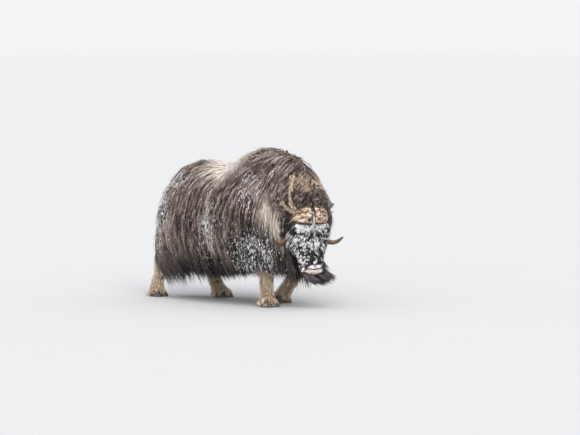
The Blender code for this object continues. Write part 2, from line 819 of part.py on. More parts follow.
def centre_origin():
    """Shifts every node so that the origin is on the floor under the middle of the bounding box."""
    nodes = [o for o in bpy.context.scene.objects if o.type == "MESH"]
    xs = [v.co.x for o in nodes for v in o.data.vertices]
    ys = [v.co.y for o in nodes for v in o.data.vertices]
    shift = Vector((-(min(xs) + max(xs)) / 2, -(min(ys) + max(ys)) / 2, 0))
    for node in nodes:
        node.data.transform(Matrix.Translation(shift))


def main():
    drop(*bpy.data.objects)
    coat_brown = material("coat_brown", (0.045, 0.030, 0.022), 0.9)
    face_black = material("face_fur", (0.030, 0.024, 0.021), 0.9)
    horn_tan = material("horn_keratin", (0.42, 0.28, 0.16), 0.5)
    leg_tan = material("leg_fur", (0.34, 0.24, 0.15), 0.9)
    hoof_dark = material("hoof_keratin", (0.035, 0.028, 0.024), 0.45)
    eye_dark = material("eye_wet", (0.02, 0.012, 0.008), 0.1)

    head = head_node()
    horns = [horn("horn_left", 1, head), horn("horn_right", -1, head)]
    ears = [ear("ear_left", 1, head, horns[0]), ear("ear_right", -1, head, horns[1])]
    eyes = [eye_ball("eye_left", 1), eye_ball("eye_right", -1)]
    torso = body_core("torso")
    legs = [leg("leg_" + name, rows, torso, heel) for name, rows, heel in STANCE]
    hooves = [hoof("hoof_" + name, rows, heel) for name, rows, heel in STANCE]
    short_tail = tail(torso)
    torso, neck = body_and_neck(torso, [head, *horns, *ears], [*legs, short_tail])
    looks = {face_black: [head], coat_brown: [torso, neck, short_tail, *ears], horn_tan: horns}
    looks |= {eye_dark: eyes, leg_tan: legs, hoof_dark: hooves}
    for look, nodes in looks.items():
        for made in nodes:
            finish(made, look)
    centre_origin()


main()
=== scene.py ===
"""Looks of the walking bull muskox: skin, a coat of fine tufts, horns, hooves and eyes.

Metres, in the part's frame: the animal faces -Y, its left side is +X and it stands on z = 0.
Places on the body are given as forward, left and up. Places on the head are along (poll to
muzzle), over (towards the forehead) and left. Many places at once are an array whose last axis
holds x, y and z.
"""

import math

import bmesh
import bpy
import numpy as np
from mathutils import Matrix, Vector, noise
from mathutils.bvhtree import BVHTree


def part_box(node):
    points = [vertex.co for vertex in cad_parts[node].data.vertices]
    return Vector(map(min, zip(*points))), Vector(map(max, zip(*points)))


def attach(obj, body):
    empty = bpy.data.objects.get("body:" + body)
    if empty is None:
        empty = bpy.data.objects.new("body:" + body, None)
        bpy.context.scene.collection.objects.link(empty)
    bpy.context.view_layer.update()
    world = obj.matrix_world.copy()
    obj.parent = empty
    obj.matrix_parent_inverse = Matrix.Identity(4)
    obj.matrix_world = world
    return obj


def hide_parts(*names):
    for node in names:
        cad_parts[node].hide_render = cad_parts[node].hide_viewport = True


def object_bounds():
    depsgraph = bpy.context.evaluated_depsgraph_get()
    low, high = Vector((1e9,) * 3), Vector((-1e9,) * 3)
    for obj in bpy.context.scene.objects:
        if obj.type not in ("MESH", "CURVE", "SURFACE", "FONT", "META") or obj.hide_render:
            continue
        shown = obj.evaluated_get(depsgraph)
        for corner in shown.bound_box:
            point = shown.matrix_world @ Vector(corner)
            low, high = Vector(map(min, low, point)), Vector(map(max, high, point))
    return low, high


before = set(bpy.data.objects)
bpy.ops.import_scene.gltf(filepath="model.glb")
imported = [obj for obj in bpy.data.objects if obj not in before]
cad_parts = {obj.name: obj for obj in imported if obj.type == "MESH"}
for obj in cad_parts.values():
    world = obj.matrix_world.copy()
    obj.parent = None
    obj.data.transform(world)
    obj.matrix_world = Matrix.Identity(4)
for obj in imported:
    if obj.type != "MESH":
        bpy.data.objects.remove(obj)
CAD_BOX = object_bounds()

LEFT = np.array((1.0, 0.0, 0.0))
FORWARD = np.array((0.0, -1.0, 0.0))
UP = np.array((0.0, 0.0, 1.0))
ORIGIN = np.zeros(3)

# Driving dimensions, as in the solids
HUMP_TOP = 1.365
BACK_TOP = 1.222
BELLY = 0.36
GIRTH_HALF = 0.40
POLL_FORWARD, POLL_LEFT, POLL_UP = 0.954, -0.086, 0.875
HEAD_YAW = math.radians(18)
HEAD_PITCH = math.radians(76)
# Places on the head, as along, over and left
EYE_RADIUS = 0.021
EYE_PLACE = (0.212, 0.034, 0.158)
NOSTRIL_PLACE = (0.497, 0.082, 0.044)
EAR_PLACE = (0.020, -0.010, 0.172)

# How deep the flesh lies under the solids' surface, and how finely the head's parts are joined
BODY_DEPTH = 0.020
HEAD_DEPTH = 0.006
LEG_DEPTH = 0.007
HEAD_VOXEL = 0.0038
HEAD_SMOOTHING = 3
# Rings along each tube of flesh, and points round each ring
BODY_RINGS, BODY_SIDES = 110, 96
SKULL_RINGS, SKULL_SIDES = 90, 72
JAW_RINGS, JAW_SIDES = 60, 48
LEG_RINGS, LEG_SIDES = 56, 40
TAIL_RINGS, TAIL_SIDES = 24, 20
ROLL_SIDES = 12

HEADING = math.cos(HEAD_YAW) * FORWARD - math.sin(HEAD_YAW) * LEFT
ALONG = math.cos(HEAD_PITCH) * HEADING - math.sin(HEAD_PITCH) * UP
OVER = math.sin(HEAD_PITCH) * HEADING + math.cos(HEAD_PITCH) * UP
HEAD_LEFT = np.cross(UP, HEADING)
WIND = (0.68 * FORWARD + 0.73 * LEFT) / math.hypot(0.68, 0.73)


def at(forward, left, up):
    """Places on the body, as points in the part's frame."""
    forward, left, up = np.broadcast_arrays(forward, left, up)
    return np.stack((left, -forward, up), axis=-1) + ORIGIN


def on_head(along, over, left):
    """Places on the head, as points in the part's frame."""
    along, over, left = (np.asarray(value)[..., None] for value in (along, over, left))
    return at(POLL_FORWARD, POLL_LEFT, POLL_UP) + along * ALONG + over * OVER + left * HEAD_LEFT


def on_side(place, side):
    """A place on the left of the head for side 1, or its mirror image on the right for side -1."""
    return on_head(place[0], place[1], side * place[2])


def body_places(points):
    """Forward, left and up of points."""
    from_origin = points - ORIGIN
    return -from_origin[..., 1], from_origin[..., 0], from_origin[..., 2]


def head_places(points):
    """Along, over and left of points."""
    from_poll = points - at(POLL_FORWARD, POLL_LEFT, POLL_UP)
    return from_poll @ ALONG, from_poll @ OVER, from_poll @ HEAD_LEFT


def middle_of(node):
    """The middle of a node's box."""
    low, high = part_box(node)
    return (np.array(low) + np.array(high)) / 2


def origin_from_frame():
    """Where the body's own origin lies in the frame, from the middle between the two eyes."""
    between = (middle_of("eye_left") + middle_of("eye_right")) / 2
    return (between - on_head(EYE_PLACE[0], EYE_PLACE[1], 0.0)) * (1, 1, 0)


ORIGIN = origin_from_frame()


# Numbers and curves


def unit(vectors):
    """Vectors of the same directions, one metre long."""
    return vectors / np.maximum(np.linalg.norm(vectors, axis=-1, keepdims=True), 1e-9)


def ramp(low, high, value):
    """Rises smoothly from 0 at low to 1 at high."""
    u = np.clip((value - low) / (high - low), 0, 1)
    return u * u * (3 - 2 * u)


def lumps(points, scale, seed=0):
    """Smooth random values from 0 to 1, with about one lump to each 1/scale metres."""
    place = points * scale + 17.3 * seed + 1000.0
    cell = np.floor(place).astype(np.int64)
    u = place - cell
    u = u * u * (3 - 2 * u)
    total = 0.0
    for corner in np.ndindex(2, 2, 2):
        x, y, z = np.moveaxis(cell + np.array(corner), -1, 0)
        mixed = (x * 73856093) ^ (y * 19349663) ^ (z * 83492791)
        mixed = ((mixed ^ (mixed >> 13)) * 1274126177) & 0x7FFFFFFF
        weight = np.prod(np.where(np.array(corner) == 1, u, 1 - u), axis=-1)
        total = total + weight * ((mixed >> 8) & 0xFFFF) / 0xFFFF
    return total


def blob(places, centre, radii, soft=0.35):
    """1 inside an ellipsoid and 0 outside, with a soft edge."""
    parts = [((p - c) / r) ** 2 for p, c, r in zip(places, centre, radii)]
    return 1 - ramp(1 - soft, 1 + soft, np.sqrt(sum(parts)))


def smooth_rows(rows, count):
    """Rows of numbers read again at count even steps of a smooth curve through them."""
    rows = np.array(rows, float)
    spans = len(rows) - 1
    t = np.linspace(0, spans, count)
    k = np.minimum(t.astype(int), spans - 1)
    u = (t - k)[:, None]
    before, here = rows[np.maximum(k - 1, 0)], rows[k]
    there, after = rows[k + 1], rows[np.minimum(k + 2, spans)]
    bend = 2 * before - 5 * here + 4 * there - after
    twist = 3 * here - before - 3 * there + after
    return 0.5 * (2 * here + (there - before) * u + bend * u**2 + twist * u**3)


def to_nearest(points, places):
    """How far each point is from the nearest of several places."""
    distance = np.inf
    for place in places:
        distance = np.minimum(distance, np.linalg.norm(points - place, axis=-1))
    return distance


def ovals(centres, side, rise, half, above, below, sides, upper=2.1, lower=2.1):
    """Closed rings of points, fuller above and below their centres where the power is higher."""
    angle = np.linspace(0, 2 * math.pi, sides, endpoint=False)
    s, c = np.sin(angle), np.cos(angle)
    power = np.where(c >= 0, upper, lower)
    s = np.sign(s) * np.abs(s) ** (2 / power)
    c = np.sign(c) * np.abs(c) ** (2 / power)
    wide = np.multiply.outer(half, s)
    deep = np.where(c >= 0, np.asarray(above)[:, None], np.asarray(below)[:, None]) * c
    side, rise = np.broadcast_to(side, centres.shape), np.broadcast_to(rise, centres.shape)
    return centres[:, None] + side[:, None] * wide[..., None] + rise[:, None] * deep[..., None]


# Meshes


def put(name, data):
    """A new object in the scene, of a mesh, camera or light."""
    made = bpy.data.objects.new(name, data)
    bpy.context.scene.collection.objects.link(made)
    return made


def drop(*objects):
    """Takes objects out of the scene again."""
    for made in objects:
        bpy.data.objects.remove(made)


def mesh_of(points, faces):
    """A mesh whose faces point outwards."""
    mesh = bpy.data.meshes.new("shape")
    mesh.from_pydata([tuple(p) for p in points], [], faces)
    work = bmesh.new()
    work.from_mesh(mesh)
    bmesh.ops.recalc_face_normals(work, faces=work.faces)
    if work.calc_volume(signed=True) < 0:
        bmesh.ops.reverse_faces(work, faces=work.faces)
    work.to_mesh(mesh)
    work.free()
    return mesh


def loft(name, rings):
    """A closed tube through rings of equal length."""
    count, sides = rings.shape[:2]
    k = np.arange(count - 1)[:, None] * sides
    i = np.arange(sides)[None, :]
    j = (i + 1) % sides
    quads = np.stack((k + i, k + j, k + j + sides, k + i + sides), axis=-1).reshape(-1, 4)
    caps = [tuple(range(sides)), tuple(range((count - 1) * sides, count * sides))]
    return put(name, mesh_of(rings.reshape(-1, 3), caps + quads.tolist()))


def ball(name, centre, axes, segments=32, rings=20):
    """An ellipsoid with its half axes along three vectors."""
    work = bmesh.new()
    bmesh.ops.create_uvsphere(work, u_segments=segments, v_segments=rings, radius=1)
    points = np.array([v.co for v in work.verts]) @ np.array(axes) + centre
    faces = [[v.index for v in f.verts] for f in work.faces]
    work.free()
    return put(name, mesh_of(points, faces))


def sweep_frames(path, start_side):
    """The directions across and through a tube at each point of its path."""
    tangents = unit(np.gradient(path, axis=0))
    across = np.array(start_side, float)
    sides = []
    for tangent in tangents:
        across = unit(across - tangent * (across @ tangent))
        sides.append(across)
    sides = np.array(sides)
    return sides, np.cross(tangents, sides)


def swept(name, path, wide, deep, sides, start_side):
    """A tube along a path, with a radius across it and one through it at each point."""
    path = np.array(path)
    across, through = sweep_frames(path, start_side)
    return loft(name, ovals(path, across, through, np.array(wide), np.array(deep), np.array(deep), sides))


def evaluated_mesh(made):
    """An object's mesh after its modifiers."""
    bpy.context.view_layer.update()
    graph = bpy.context.evaluated_depsgraph_get()
    return bpy.data.meshes.new_from_object(made.evaluated_get(graph))


def combined(target, others, operation):
    """Applies one Boolean of several closed meshes to target, then removes them."""
    tools = bpy.data.collections.new("tools")
    bpy.context.scene.collection.children.link(tools)
    for other in others:
        tools.objects.link(other)
    step = target.modifiers.new("join", "BOOLEAN")
    step.operation = operation
    step.operand_type = "COLLECTION"
    step.collection = tools
    step.solver = "MANIFOLD"
    result = evaluated_mesh(target)
    target.modifiers.clear()
    target.data = result
    drop(*others)
    bpy.data.collections.remove(tools)
    return target


def merged(name, objects, voxel, smoothing):
    """Several closed meshes as one smooth closed skin."""
    work = bmesh.new()
    for made in objects:
        work.from_mesh(made.data)
    mesh = bpy.data.meshes.new(name)
    work.to_mesh(mesh)
    work.free()
    drop(*objects)
    made = put(name, mesh)
    remesh = made.modifiers.new("remesh", "REMESH")
    remesh.mode = "VOXEL"
    remesh.voxel_size = voxel
    smooth = made.modifiers.new("smooth", "SMOOTH")
    smooth.factor = 0.5
    smooth.iterations = smoothing
    result = evaluated_mesh(made)
    made.modifiers.clear()
    made.data = result
    return made


def point_numbers(mesh, settled):
    """The points of each triangle. A Boolean gives them in a new order each run, which settled undoes."""
    mesh.calc_loop_triangles()
    index = np.empty(len(mesh.loop_triangles) * 3, np.int32)
    mesh.loop_triangles.foreach_get("vertices", index)
    index = index.reshape(-1, 3)
    if settled:
        turned = (index.argmin(axis=1)[:, None] + np.arange(3)) % 3
        index = np.take_along_axis(index, turned, axis=1)
        index = index[np.lexsort(index.T[::-1])]
    return index


def surface_of(made, settled=False):
    """An object's surface, for finding the nearest place on it."""
    mesh = made.data
    return BVHTree.FromPolygons([v.co for v in mesh.vertices], point_numbers(mesh, settled).tolist())


def point_rows(mesh, name="co"):
    """The places of a mesh's points, or their normals, as rows."""
    rows = np.empty(len(mesh.vertices) * 3, np.float32)
    mesh.vertices.foreach_get(name, rows)
    return rows.reshape(-1, 3).astype(float)


def triangles_of(made, settled=False):
    """The corner points and normals of a mesh's triangles."""
    mesh = made.data
    index = point_numbers(mesh, settled)
    return point_rows(mesh)[index], point_rows(mesh, "normal")[index]


def store(mesh, title, values):
    """Keeps four values for each of a mesh's points, for the materials to read."""
    kept = mesh.attributes.new(title, "FLOAT_COLOR", "POINT")
    kept.data.foreach_set("color", values.astype(np.float32).ravel())


# The flesh: rows as in the solids, drawn in by the depth of the coat

# Body: forward, left, turn in degrees, top, waist, bottom, half width
BODY_ROWS = [
    (-0.880, 0.0, 0, 0.80, 0.68, 0.56, 0.05),
    (-0.862, 0.0, 0, 0.90, 0.66, 0.46, 0.155),
    (-0.80, 0.0, 0, 1.02, 0.62, 0.40, 0.245),
    (-0.69, 0.0, 0, 1.14, 0.60, BELLY + 0.01, 0.310),
    (-0.50, 0.0, 0, BACK_TOP, 0.59, BELLY, GIRTH_HALF - 0.035),
    (-0.25, 0.0, 0, BACK_TOP, 0.60, BELLY, GIRTH_HALF - 0.005),
    (0.00, 0.0, 0, BACK_TOP, 0.61, BELLY, GIRTH_HALF),
    (0.20, 0.0, 0, BACK_TOP + 0.085, 0.63, BELLY, GIRTH_HALF),
    (0.43, 0.0, 2, HUMP_TOP, 0.66, BELLY, GIRTH_HALF - 0.005),
    (0.60, 0.0, 6, HUMP_TOP - 0.010, 0.68, BELLY + 0.01, 0.375),
    (0.75, -0.03, 13, HUMP_TOP - 0.095, 0.70, 0.40, 0.330),
    (0.87, -0.07, 20, HUMP_TOP - 0.210, 0.72, 0.47, 0.275),
    (0.97, -0.10, 26, HUMP_TOP - 0.325, 0.78, 0.60, 0.215),
    (1.045, -0.115, 28, 0.955, 0.83, 0.74, 0.13),
]


def body_flesh():
    """The trunk and neck as one tube."""
    forward, left, turn, top, waist, bottom, half = smooth_rows(BODY_ROWS, BODY_RINGS).T
    ends = forward[0], 0, forward[-1]
    forward = np.interp(forward, ends, (ends[0] + BODY_DEPTH, 0, ends[-1] - BODY_DEPTH))
    yaw = np.radians(turn)[:, None]
    side = np.cos(yaw) * LEFT + np.sin(yaw) * FORWARD
    above, below = top - BODY_DEPTH - waist, waist - bottom - BODY_DEPTH
    centres = at(forward, left, waist)
    return loft("body", ovals(centres, side, UP, half - BODY_DEPTH, above, below, BODY_SIDES, 2.1, 2.9))


# Head: along, top, middle, bottom, half width
HEAD_ROWS = [
    (-0.10, 0.03, -0.03, -0.10, 0.07),
    (-0.05, 0.08, -0.03, -0.15, 0.135),
    (0.03, 0.108, -0.03, -0.175, 0.166),
    (0.12, 0.116, -0.03, -0.185, 0.180),
    (0.22, 0.112, -0.02, -0.170, 0.178),
    (0.31, 0.101, -0.01, -0.135, 0.154),
    (0.40, 0.090, 0.0, -0.100, 0.128),
    (0.47, 0.086, 0.0, -0.070, 0.116),
    (0.53, 0.079, 0.0, -0.050, 0.113),
    (0.572, 0.057, 0.005, -0.035, 0.095),
    (0.588, 0.032, 0.005, -0.015, 0.054),
]
JAW_ROWS = [
    (0.10, -0.06, -0.10, -0.140, 0.080),
    (0.25, -0.06, -0.11, -0.166, 0.100),
    (0.38, -0.03, -0.08, -0.130, 0.092),
    (0.48, -0.012, -0.055, -0.105, 0.084),
    (0.55, -0.004, -0.042, -0.085, 0.076),
    (0.586, -0.004, -0.030, -0.062, 0.060),
    (0.600, -0.012, -0.028, -0.046, 0.031),
]


def head_tube(name, rows, count, sides):
    """The skull or the jaw as a tube."""
    along, top, middle, bottom, half = smooth_rows(rows, count).T
    above, below = top - middle - HEAD_DEPTH, middle - bottom - HEAD_DEPTH
    centres = on_head(along, middle, 0 * along)
    return loft(name, ovals(centres, HEAD_LEFT, OVER, half - HEAD_DEPTH, above, below, sides, 2.3, 2.2))


def head_lump(place, radii, lean=0.0):
    """An ellipsoid of flesh on the head, its length leaning towards the middle line."""
    long = unit(ALONG - math.tan(lean) * HEAD_LEFT)
    wide = unit(np.cross(OVER, long))
    return ball("lump", on_head(*place), (long * radii[0], OVER * radii[1], wide * radii[2]))


def eye_outward(side):
    """The way an eye looks."""
    return unit(side * HEAD_LEFT * 0.92 + OVER * 0.38)


def lid(side, upper):
    """One eyelid: a roll that hugs the eye from corner to corner."""
    centre = on_side(EYE_PLACE, side)
    outward = eye_outward(side)
    rise = np.cross(outward, ALONG)
    if rise @ OVER * (1 if upper else -1) < 0:
        rise = -rise
    share = np.linspace(-1, 1, 25)[:, None]
    across = share * 1.3
    lean = (0.74 if upper else 0.95) * np.cos(across * 0.9)
    way = outward * np.cos(lean) * np.cos(across) + ALONG * np.sin(across) + rise * np.sin(lean)
    taper = 0.45 + 0.55 * np.cos(share[:, 0] * math.pi / 2)
    path = centre + unit(way) * (EYE_RADIUS + 0.0025)
    return swept("lid", path, 0.0085 * taper, 0.006 * taper, ROLL_SIDES, outward)


# The line of the mouth: its front end, how far it draws back and how wide it is
MOUTH_ALONG, MOUTH_RISE, MOUTH_HALF = 0.562, 0.055, 0.086
MOUTH_STEPS = 41


def mouth_line(surface, down=0.0, reach=1.0):
    """Points round the front of the muzzle where the lips meet, moved down by a little."""
    u = np.linspace(-1, 1, MOUTH_STEPS) * reach
    along = MOUTH_ALONG + down - MOUTH_RISE * np.abs(u) ** 1.6
    guess = on_head(along, 0.10 - 0.09 * u * u, MOUTH_HALF * np.sin(u * math.pi / 2))
    return np.array([surface.find_nearest(Vector(place))[0] for place in guess])


def lip(surface, down, radius, inward):
    """A soft roll along the mouth."""
    path = mouth_line(surface, down, 0.92)
    path = path + unit(on_head(0.45, -0.01, 0.0) - path) * inward
    taper = np.sin(np.linspace(0.12, math.pi - 0.12, len(path))) ** 0.5
    return swept("lip", path, radius * taper, radius * taper, ROLL_SIDES, OVER)


def nostril(side):
    """The pit of one nostril."""
    out = unit(OVER * 0.85 + HEAD_LEFT * side * 0.32 + ALONG * 0.40)
    long = ALONG * 0.62 - HEAD_LEFT * side * 0.78
    long = unit(long - out * (long @ out))
    axes = (out * 0.022, np.cross(out, long) * 0.0105, long * 0.019)
    return ball("nostril", on_side(NOSTRIL_PLACE, side), axes)


def ear_parts(side):
    """The leaf of an ear, and the hollow cut in its front."""
    out = unit(HEAD_LEFT * side * 0.88 - OVER * 0.10 - ALONG * 0.42)
    front = unit(OVER - out * (OVER @ out))
    wide = np.cross(out, front)
    root = on_side(EAR_PLACE, side)
    leaf = ball("leaf", root + out * 0.060, (out * 0.078, wide * 0.022, front * 0.012))
    cup = ball("cup", root + out * 0.073 + front * 0.014, (out * 0.052, wide * 0.015, front * 0.014))
    return leaf, cup


def head_flesh():
    """The head with brows, cheeks, bridge of the nose, lips, lids, ears, nostrils and mouth."""
    skull = head_tube("skull", HEAD_ROWS, SKULL_RINGS, SKULL_SIDES)
    front = surface_of(skull)
    parts = [skull, head_tube("jaw", JAW_ROWS, JAW_RINGS, JAW_SIDES)]
    parts.append(head_lump((0.36, 0.080, 0.0), (0.150, 0.021, 0.050)))
    parts.append(head_lump((0.505, 0.058, 0.0), (0.052, 0.034, 0.072)))
    wide, deep = np.full(MOUTH_STEPS, 0.0058), np.full(MOUTH_STEPS, 0.013)
    cutters = [swept("groove", mouth_line(front), wide, deep, 10, ALONG)]
    for side in (1, -1):
        parts.append(head_lump((0.180, 0.070, side * 0.122), (0.050, 0.030, 0.040), side * 0.5))
        parts.append(head_lump((0.230, -0.070, side * 0.128), (0.085, 0.060, 0.036)))
        parts.append(head_lump((0.310, 0.034, side * 0.118), (0.080, 0.022, 0.022), side * 0.45))
        parts.append(head_lump((0.490, 0.064, side * 0.056), (0.036, 0.026, 0.030)))
        leaf, cup = ear_parts(side)
        parts += [lid(side, True), lid(side, False), leaf]
        r = EYE_RADIUS + 0.0006
        socket = ball("socket", on_side(EYE_PLACE, side), (LEFT * r, FORWARD * r, UP * r))
        cutters += [nostril(side), cup, socket]
    parts += [lip(front, -0.012, 0.0125, 0.005), lip(front, 0.012, 0.0110, 0.006)]
    ears = [surface_of(part) for part in parts if part.name.startswith("leaf")]
    whole = merged("head_flesh", parts, HEAD_VOXEL, HEAD_SMOOTHING)
    head = combined(whole, cutters, "DIFFERENCE")
    return head, front, ears, mouth_line(front)


# Legs: forward, left, up, half width, half length at each height
FRONT_RIGHT = [
    (0.54, -0.20, 0.47, 0.074, 0.096),
    (0.565, -0.20, 0.36, 0.062, 0.074),
    (0.585, -0.20, 0.28, 0.052, 0.060),
    (0.588, -0.20, 0.20, 0.043, 0.049),
    (0.590, -0.20, 0.12, 0.047, 0.053),
    (0.600, -0.20, 0.030, 0.058, 0.068),
]
FRONT_LEFT = [
    (0.53, 0.18, 0.47, 0.074, 0.094),
    (0.555, 0.18, 0.36, 0.062, 0.072),
    (0.555, 0.175, 0.28, 0.052, 0.060),
    (0.495, 0.172, 0.20, 0.043, 0.049),
    (0.420, 0.17, 0.12, 0.047, 0.053),
    (0.360, 0.17, 0.030, 0.056, 0.062),
]
HIND_RIGHT = [
    (-0.70, -0.20, 0.47, 0.080, 0.130),
    (-0.765, -0.20, 0.38, 0.058, 0.080),
    (-0.815, -0.20, 0.30, 0.044, 0.054),
    (-0.850, -0.20, 0.20, 0.038, 0.041),
    (-0.880, -0.20, 0.12, 0.044, 0.049),
    (-0.885, -0.20, 0.030, 0.057, 0.067),
]
HIND_LEFT = [
    (-0.53, 0.18, 0.47, 0.080, 0.125),
    (-0.590, 0.18, 0.38, 0.060, 0.088),
    (-0.595, 0.18, 0.31, 0.046, 0.060),
    (-0.545, 0.18, 0.21, 0.040, 0.048),
    (-0.490, 0.18, 0.125, 0.045, 0.052),
    (-0.425, 0.18, 0.030, 0.057, 0.067),
]
# Name, rows and lift of the heel of each foot
STANCE = [
    ("front_right", FRONT_RIGHT, 0.0),
    ("front_left", FRONT_LEFT, math.radians(14)),
    ("hind_right", HIND_RIGHT, 0.0),
    ("hind_left", HIND_LEFT, 0.0),
]
HOOF_TOP = 0.050
# Forward and up along the tail, and its half width
TAIL_PATH = [(-0.80, 0.90), (-0.875, 0.87), (-0.902, 0.82), (-0.908, 0.76), (-0.900, 0.70)]
TAIL_HALF = [0.028, 0.028, 0.030, 0.024, 0.006]


def leg_flesh(name, rows):
    """One leg, from inside the trunk down into its hoof."""
    forward, left, up, half, long = smooth_rows(rows, LEG_RINGS).T
    long = long - LEG_DEPTH
    return loft(name, ovals(at(forward, left, up), LEFT, FORWARD, half - LEG_DEPTH, long, long, LEG_SIDES))


def tail_flesh():
    """The short tail, wide and flat."""
    path = smooth_rows([tuple(at(forward, 0.0, up)) for forward, up in TAIL_PATH], TAIL_RINGS)
    half = smooth_rows([(r,) for r in TAIL_HALF], TAIL_RINGS)[:, 0]
    return swept("tail_flesh", path, half, 0.62 * half, TAIL_SIDES, LEFT)


def flesh():
    """The whole animal's skin as one closed mesh, and its named regions as surfaces to grow on."""
    body = body_flesh()
    head, skull, ears, mouth = head_flesh()
    legs = {name: leg_flesh("leg_" + name, rows) for name, rows, _ in STANCE}
    regions = {"body": surface_of(body), "head": surface_of(head, True), "skull": skull, "ears": ears}
    regions |= {name: surface_of(leg) for name, leg in legs.items()}
    growth = {"body": triangles_of(body), "head": triangles_of(head, True)}
    growth |= {name: triangles_of(leg) for name, leg in legs.items()}
    skin = combined(body, [head, tail_flesh(), *legs.values()], "UNION")
    skin.name = "skin"
    skin.data.shade_smooth()
    return skin, regions, growth, mouth


# Materials


class Nodes:
    """Short ways to add and join the nodes of one material."""

    def __init__(self, name):
        self.material = bpy.data.materials.new(name)
        self.material.use_nodes = True
        self.tree = self.material.node_tree
        self.tree.nodes.clear()

    def add(self, kind, **settings):
        """A new node with its settings."""
        node = self.tree.nodes.new(kind)
        for key, value in settings.items():
            setattr(node, key, value)
        return node

    def join(self, source, socket):
        """Links an output to a socket, or sets the socket to a value."""
        if hasattr(source, "is_output"):
            self.tree.links.new(source, socket)
        else:
            socket.default_value = source

    def attribute(self, name):
        """The four values that are stored for each point under a name."""
        node = self.add("ShaderNodeAttribute", attribute_name=name)
        parts = self.add("ShaderNodeSeparateColor")
        self.join(node.outputs["Color"], parts.inputs[0])
        return *parts.outputs, node.outputs["Alpha"]

    def math(self, operation, a, b=0.0):
        """One step of arithmetic, by the name of its operation."""
        node = self.add("ShaderNodeMath", operation=operation)
        self.join(a, node.inputs[0])
        self.join(b, node.inputs[1])
        return node.outputs[0]

    def plus(self, a, b):
        """The sum of a and b."""
        return self.math("ADD", a, b)

    def minus(self, a, b):
        """What is left of a without b."""
        return self.math("SUBTRACT", a, b)

    def times(self, a, b):
        """The product of a and b."""
        return self.math("MULTIPLY", a, b)

    def from_middle(self, x, y):
        """How far x and y lie from the middle of the pattern."""
        return self.math("SQRT", self.plus(self.math("POWER", x, 2.0), self.math("POWER", y, 2.0)))

    def mix(self, share, a, b, blend="MIX"):
        """From a to b as the share rises from 0 to 1."""
        node = self.add("ShaderNodeMix", data_type="RGBA", blend_type=blend)
        self.join(share, node.inputs["Factor"])
        self.join(a, node.inputs["A"])
        self.join(b, node.inputs["B"])
        return node.outputs["Result"]

    def steps(self, value, *stops):
        """A colour ramp: each stop is a place and a colour."""
        node = self.add("ShaderNodeValToRGB")
        ramp_of = node.color_ramp
        while len(ramp_of.elements) < len(stops):
            ramp_of.elements.new(0.5)
        for element, (place, colour) in zip(ramp_of.elements, stops):
            element.position = place
            element.color = (*colour, 1)
        self.join(value, node.inputs[0])
        return node.outputs["Color"]

    def between(self, low, high, value):
        """A share that rises from 0 at low to 1 at high."""
        node = self.add("ShaderNodeMapRange", interpolation_type="SMOOTHSTEP")
        self.join(value, node.inputs["Value"])
        self.join(low, node.inputs["From Min"])
        self.join(high, node.inputs["From Max"])
        return node.outputs["Result"]

    def place(self):
        """Where the point lies, in metres from its object's own origin."""
        return self.add("ShaderNodeTexCoord").outputs["Object"]

    def noise(self, where, scale, detail=2.0, roughness=0.5):
        """Smooth random values round 0.5, with so many octaves of detail."""
        node = self.add("ShaderNodeTexNoise")
        self.join(where, node.inputs["Vector"])
        node.inputs["Scale"].default_value = scale
        node.inputs["Detail"].default_value = detail
        node.inputs["Roughness"].default_value = roughness
        return node.outputs["Fac"]

    def stretched(self, where, scale):
        """A place with its x, y and z scaled."""
        node = self.add("ShaderNodeMapping")
        self.join(where, node.inputs["Vector"])
        node.inputs["Scale"].default_value = scale
        return node.outputs["Vector"]

    def bump(self, height, distance):
        """A surface raised by a height from 0 to 1, times a distance."""
        node = self.add("ShaderNodeBump")
        self.join(height, node.inputs["Height"])
        self.join(distance, node.inputs["Distance"])
        return node.outputs["Normal"]

    def finish(self, **sockets):
        """The finished material, from the named sockets of its shader."""
        shader = self.add("ShaderNodeBsdfPrincipled")
        for key, value in sockets.items():
            self.join(value, shader.inputs[key.replace("_", " ")])
        output = self.add("ShaderNodeOutputMaterial")
        self.join(shader.outputs[0], output.inputs["Surface"])
        return self.material


def rgba(*colour):
    """A colour with its opacity."""
    return (*colour, 1)


# Colours of the coat by tone, from 0 for the darkest to 1 for the lightest
COAT_TONES = [
    (0.00, (0.008, 0.0060, 0.0055)),
    (0.25, (0.038, 0.0265, 0.0235)),
    (0.55, (0.195, 0.140, 0.123)),
    (1.00, (0.720, 0.600, 0.530)),
]
DARK_TONES = [
    (0.00, (0.006, 0.0055, 0.006)),
    (0.50, (0.029, 0.0235, 0.0235)),
    (1.00, (0.200, 0.164, 0.155)),
]
PALE_TONES = [
    (0.00, (0.340, 0.255, 0.195)),
    (0.35, (0.800, 0.690, 0.585)),
    (1.00, (0.960, 0.920, 0.870)),
]
LEG_TONES = [
    (0.00, (0.230, 0.148, 0.092)),
    (0.45, (0.680, 0.500, 0.345)),
    (1.00, (0.960, 0.830, 0.660)),
]
FROST = (0.98, 0.98, 0.99)
BARE_SKIN = (0.016, 0.012, 0.012)
ALL_OVER = -1.0  # a strand's own number where frost covers it from root to tip


def fur_colour(nodes, tone, along, marks, cover):
    """The coat's colour: brown, dark, pale or tan by its tone, with painted shade that darkens each strand
    towards its root, and white where frost covers it.
    """
    pale, dark, _, tan = marks
    colour = nodes.mix(dark, nodes.steps(tone, *COAT_TONES), nodes.steps(tone, *DARK_TONES))
    colour = nodes.mix(pale, colour, nodes.steps(tone, *PALE_TONES))
    colour = nodes.mix(tan, colour, nodes.steps(tone, *LEG_TONES))
    # Painted shade: the lower part of each strand is darkened, standing in for the shade that overlying
    # locks cast on it.
    shade = nodes.mix(nodes.between(0.0, 0.45, along), rgba(0.42, 0.40, 0.40), rgba(1, 1, 1))
    colour = nodes.mix(1.0, colour, shade, "MULTIPLY")
    return nodes.mix(cover, colour, rgba(*FROST))


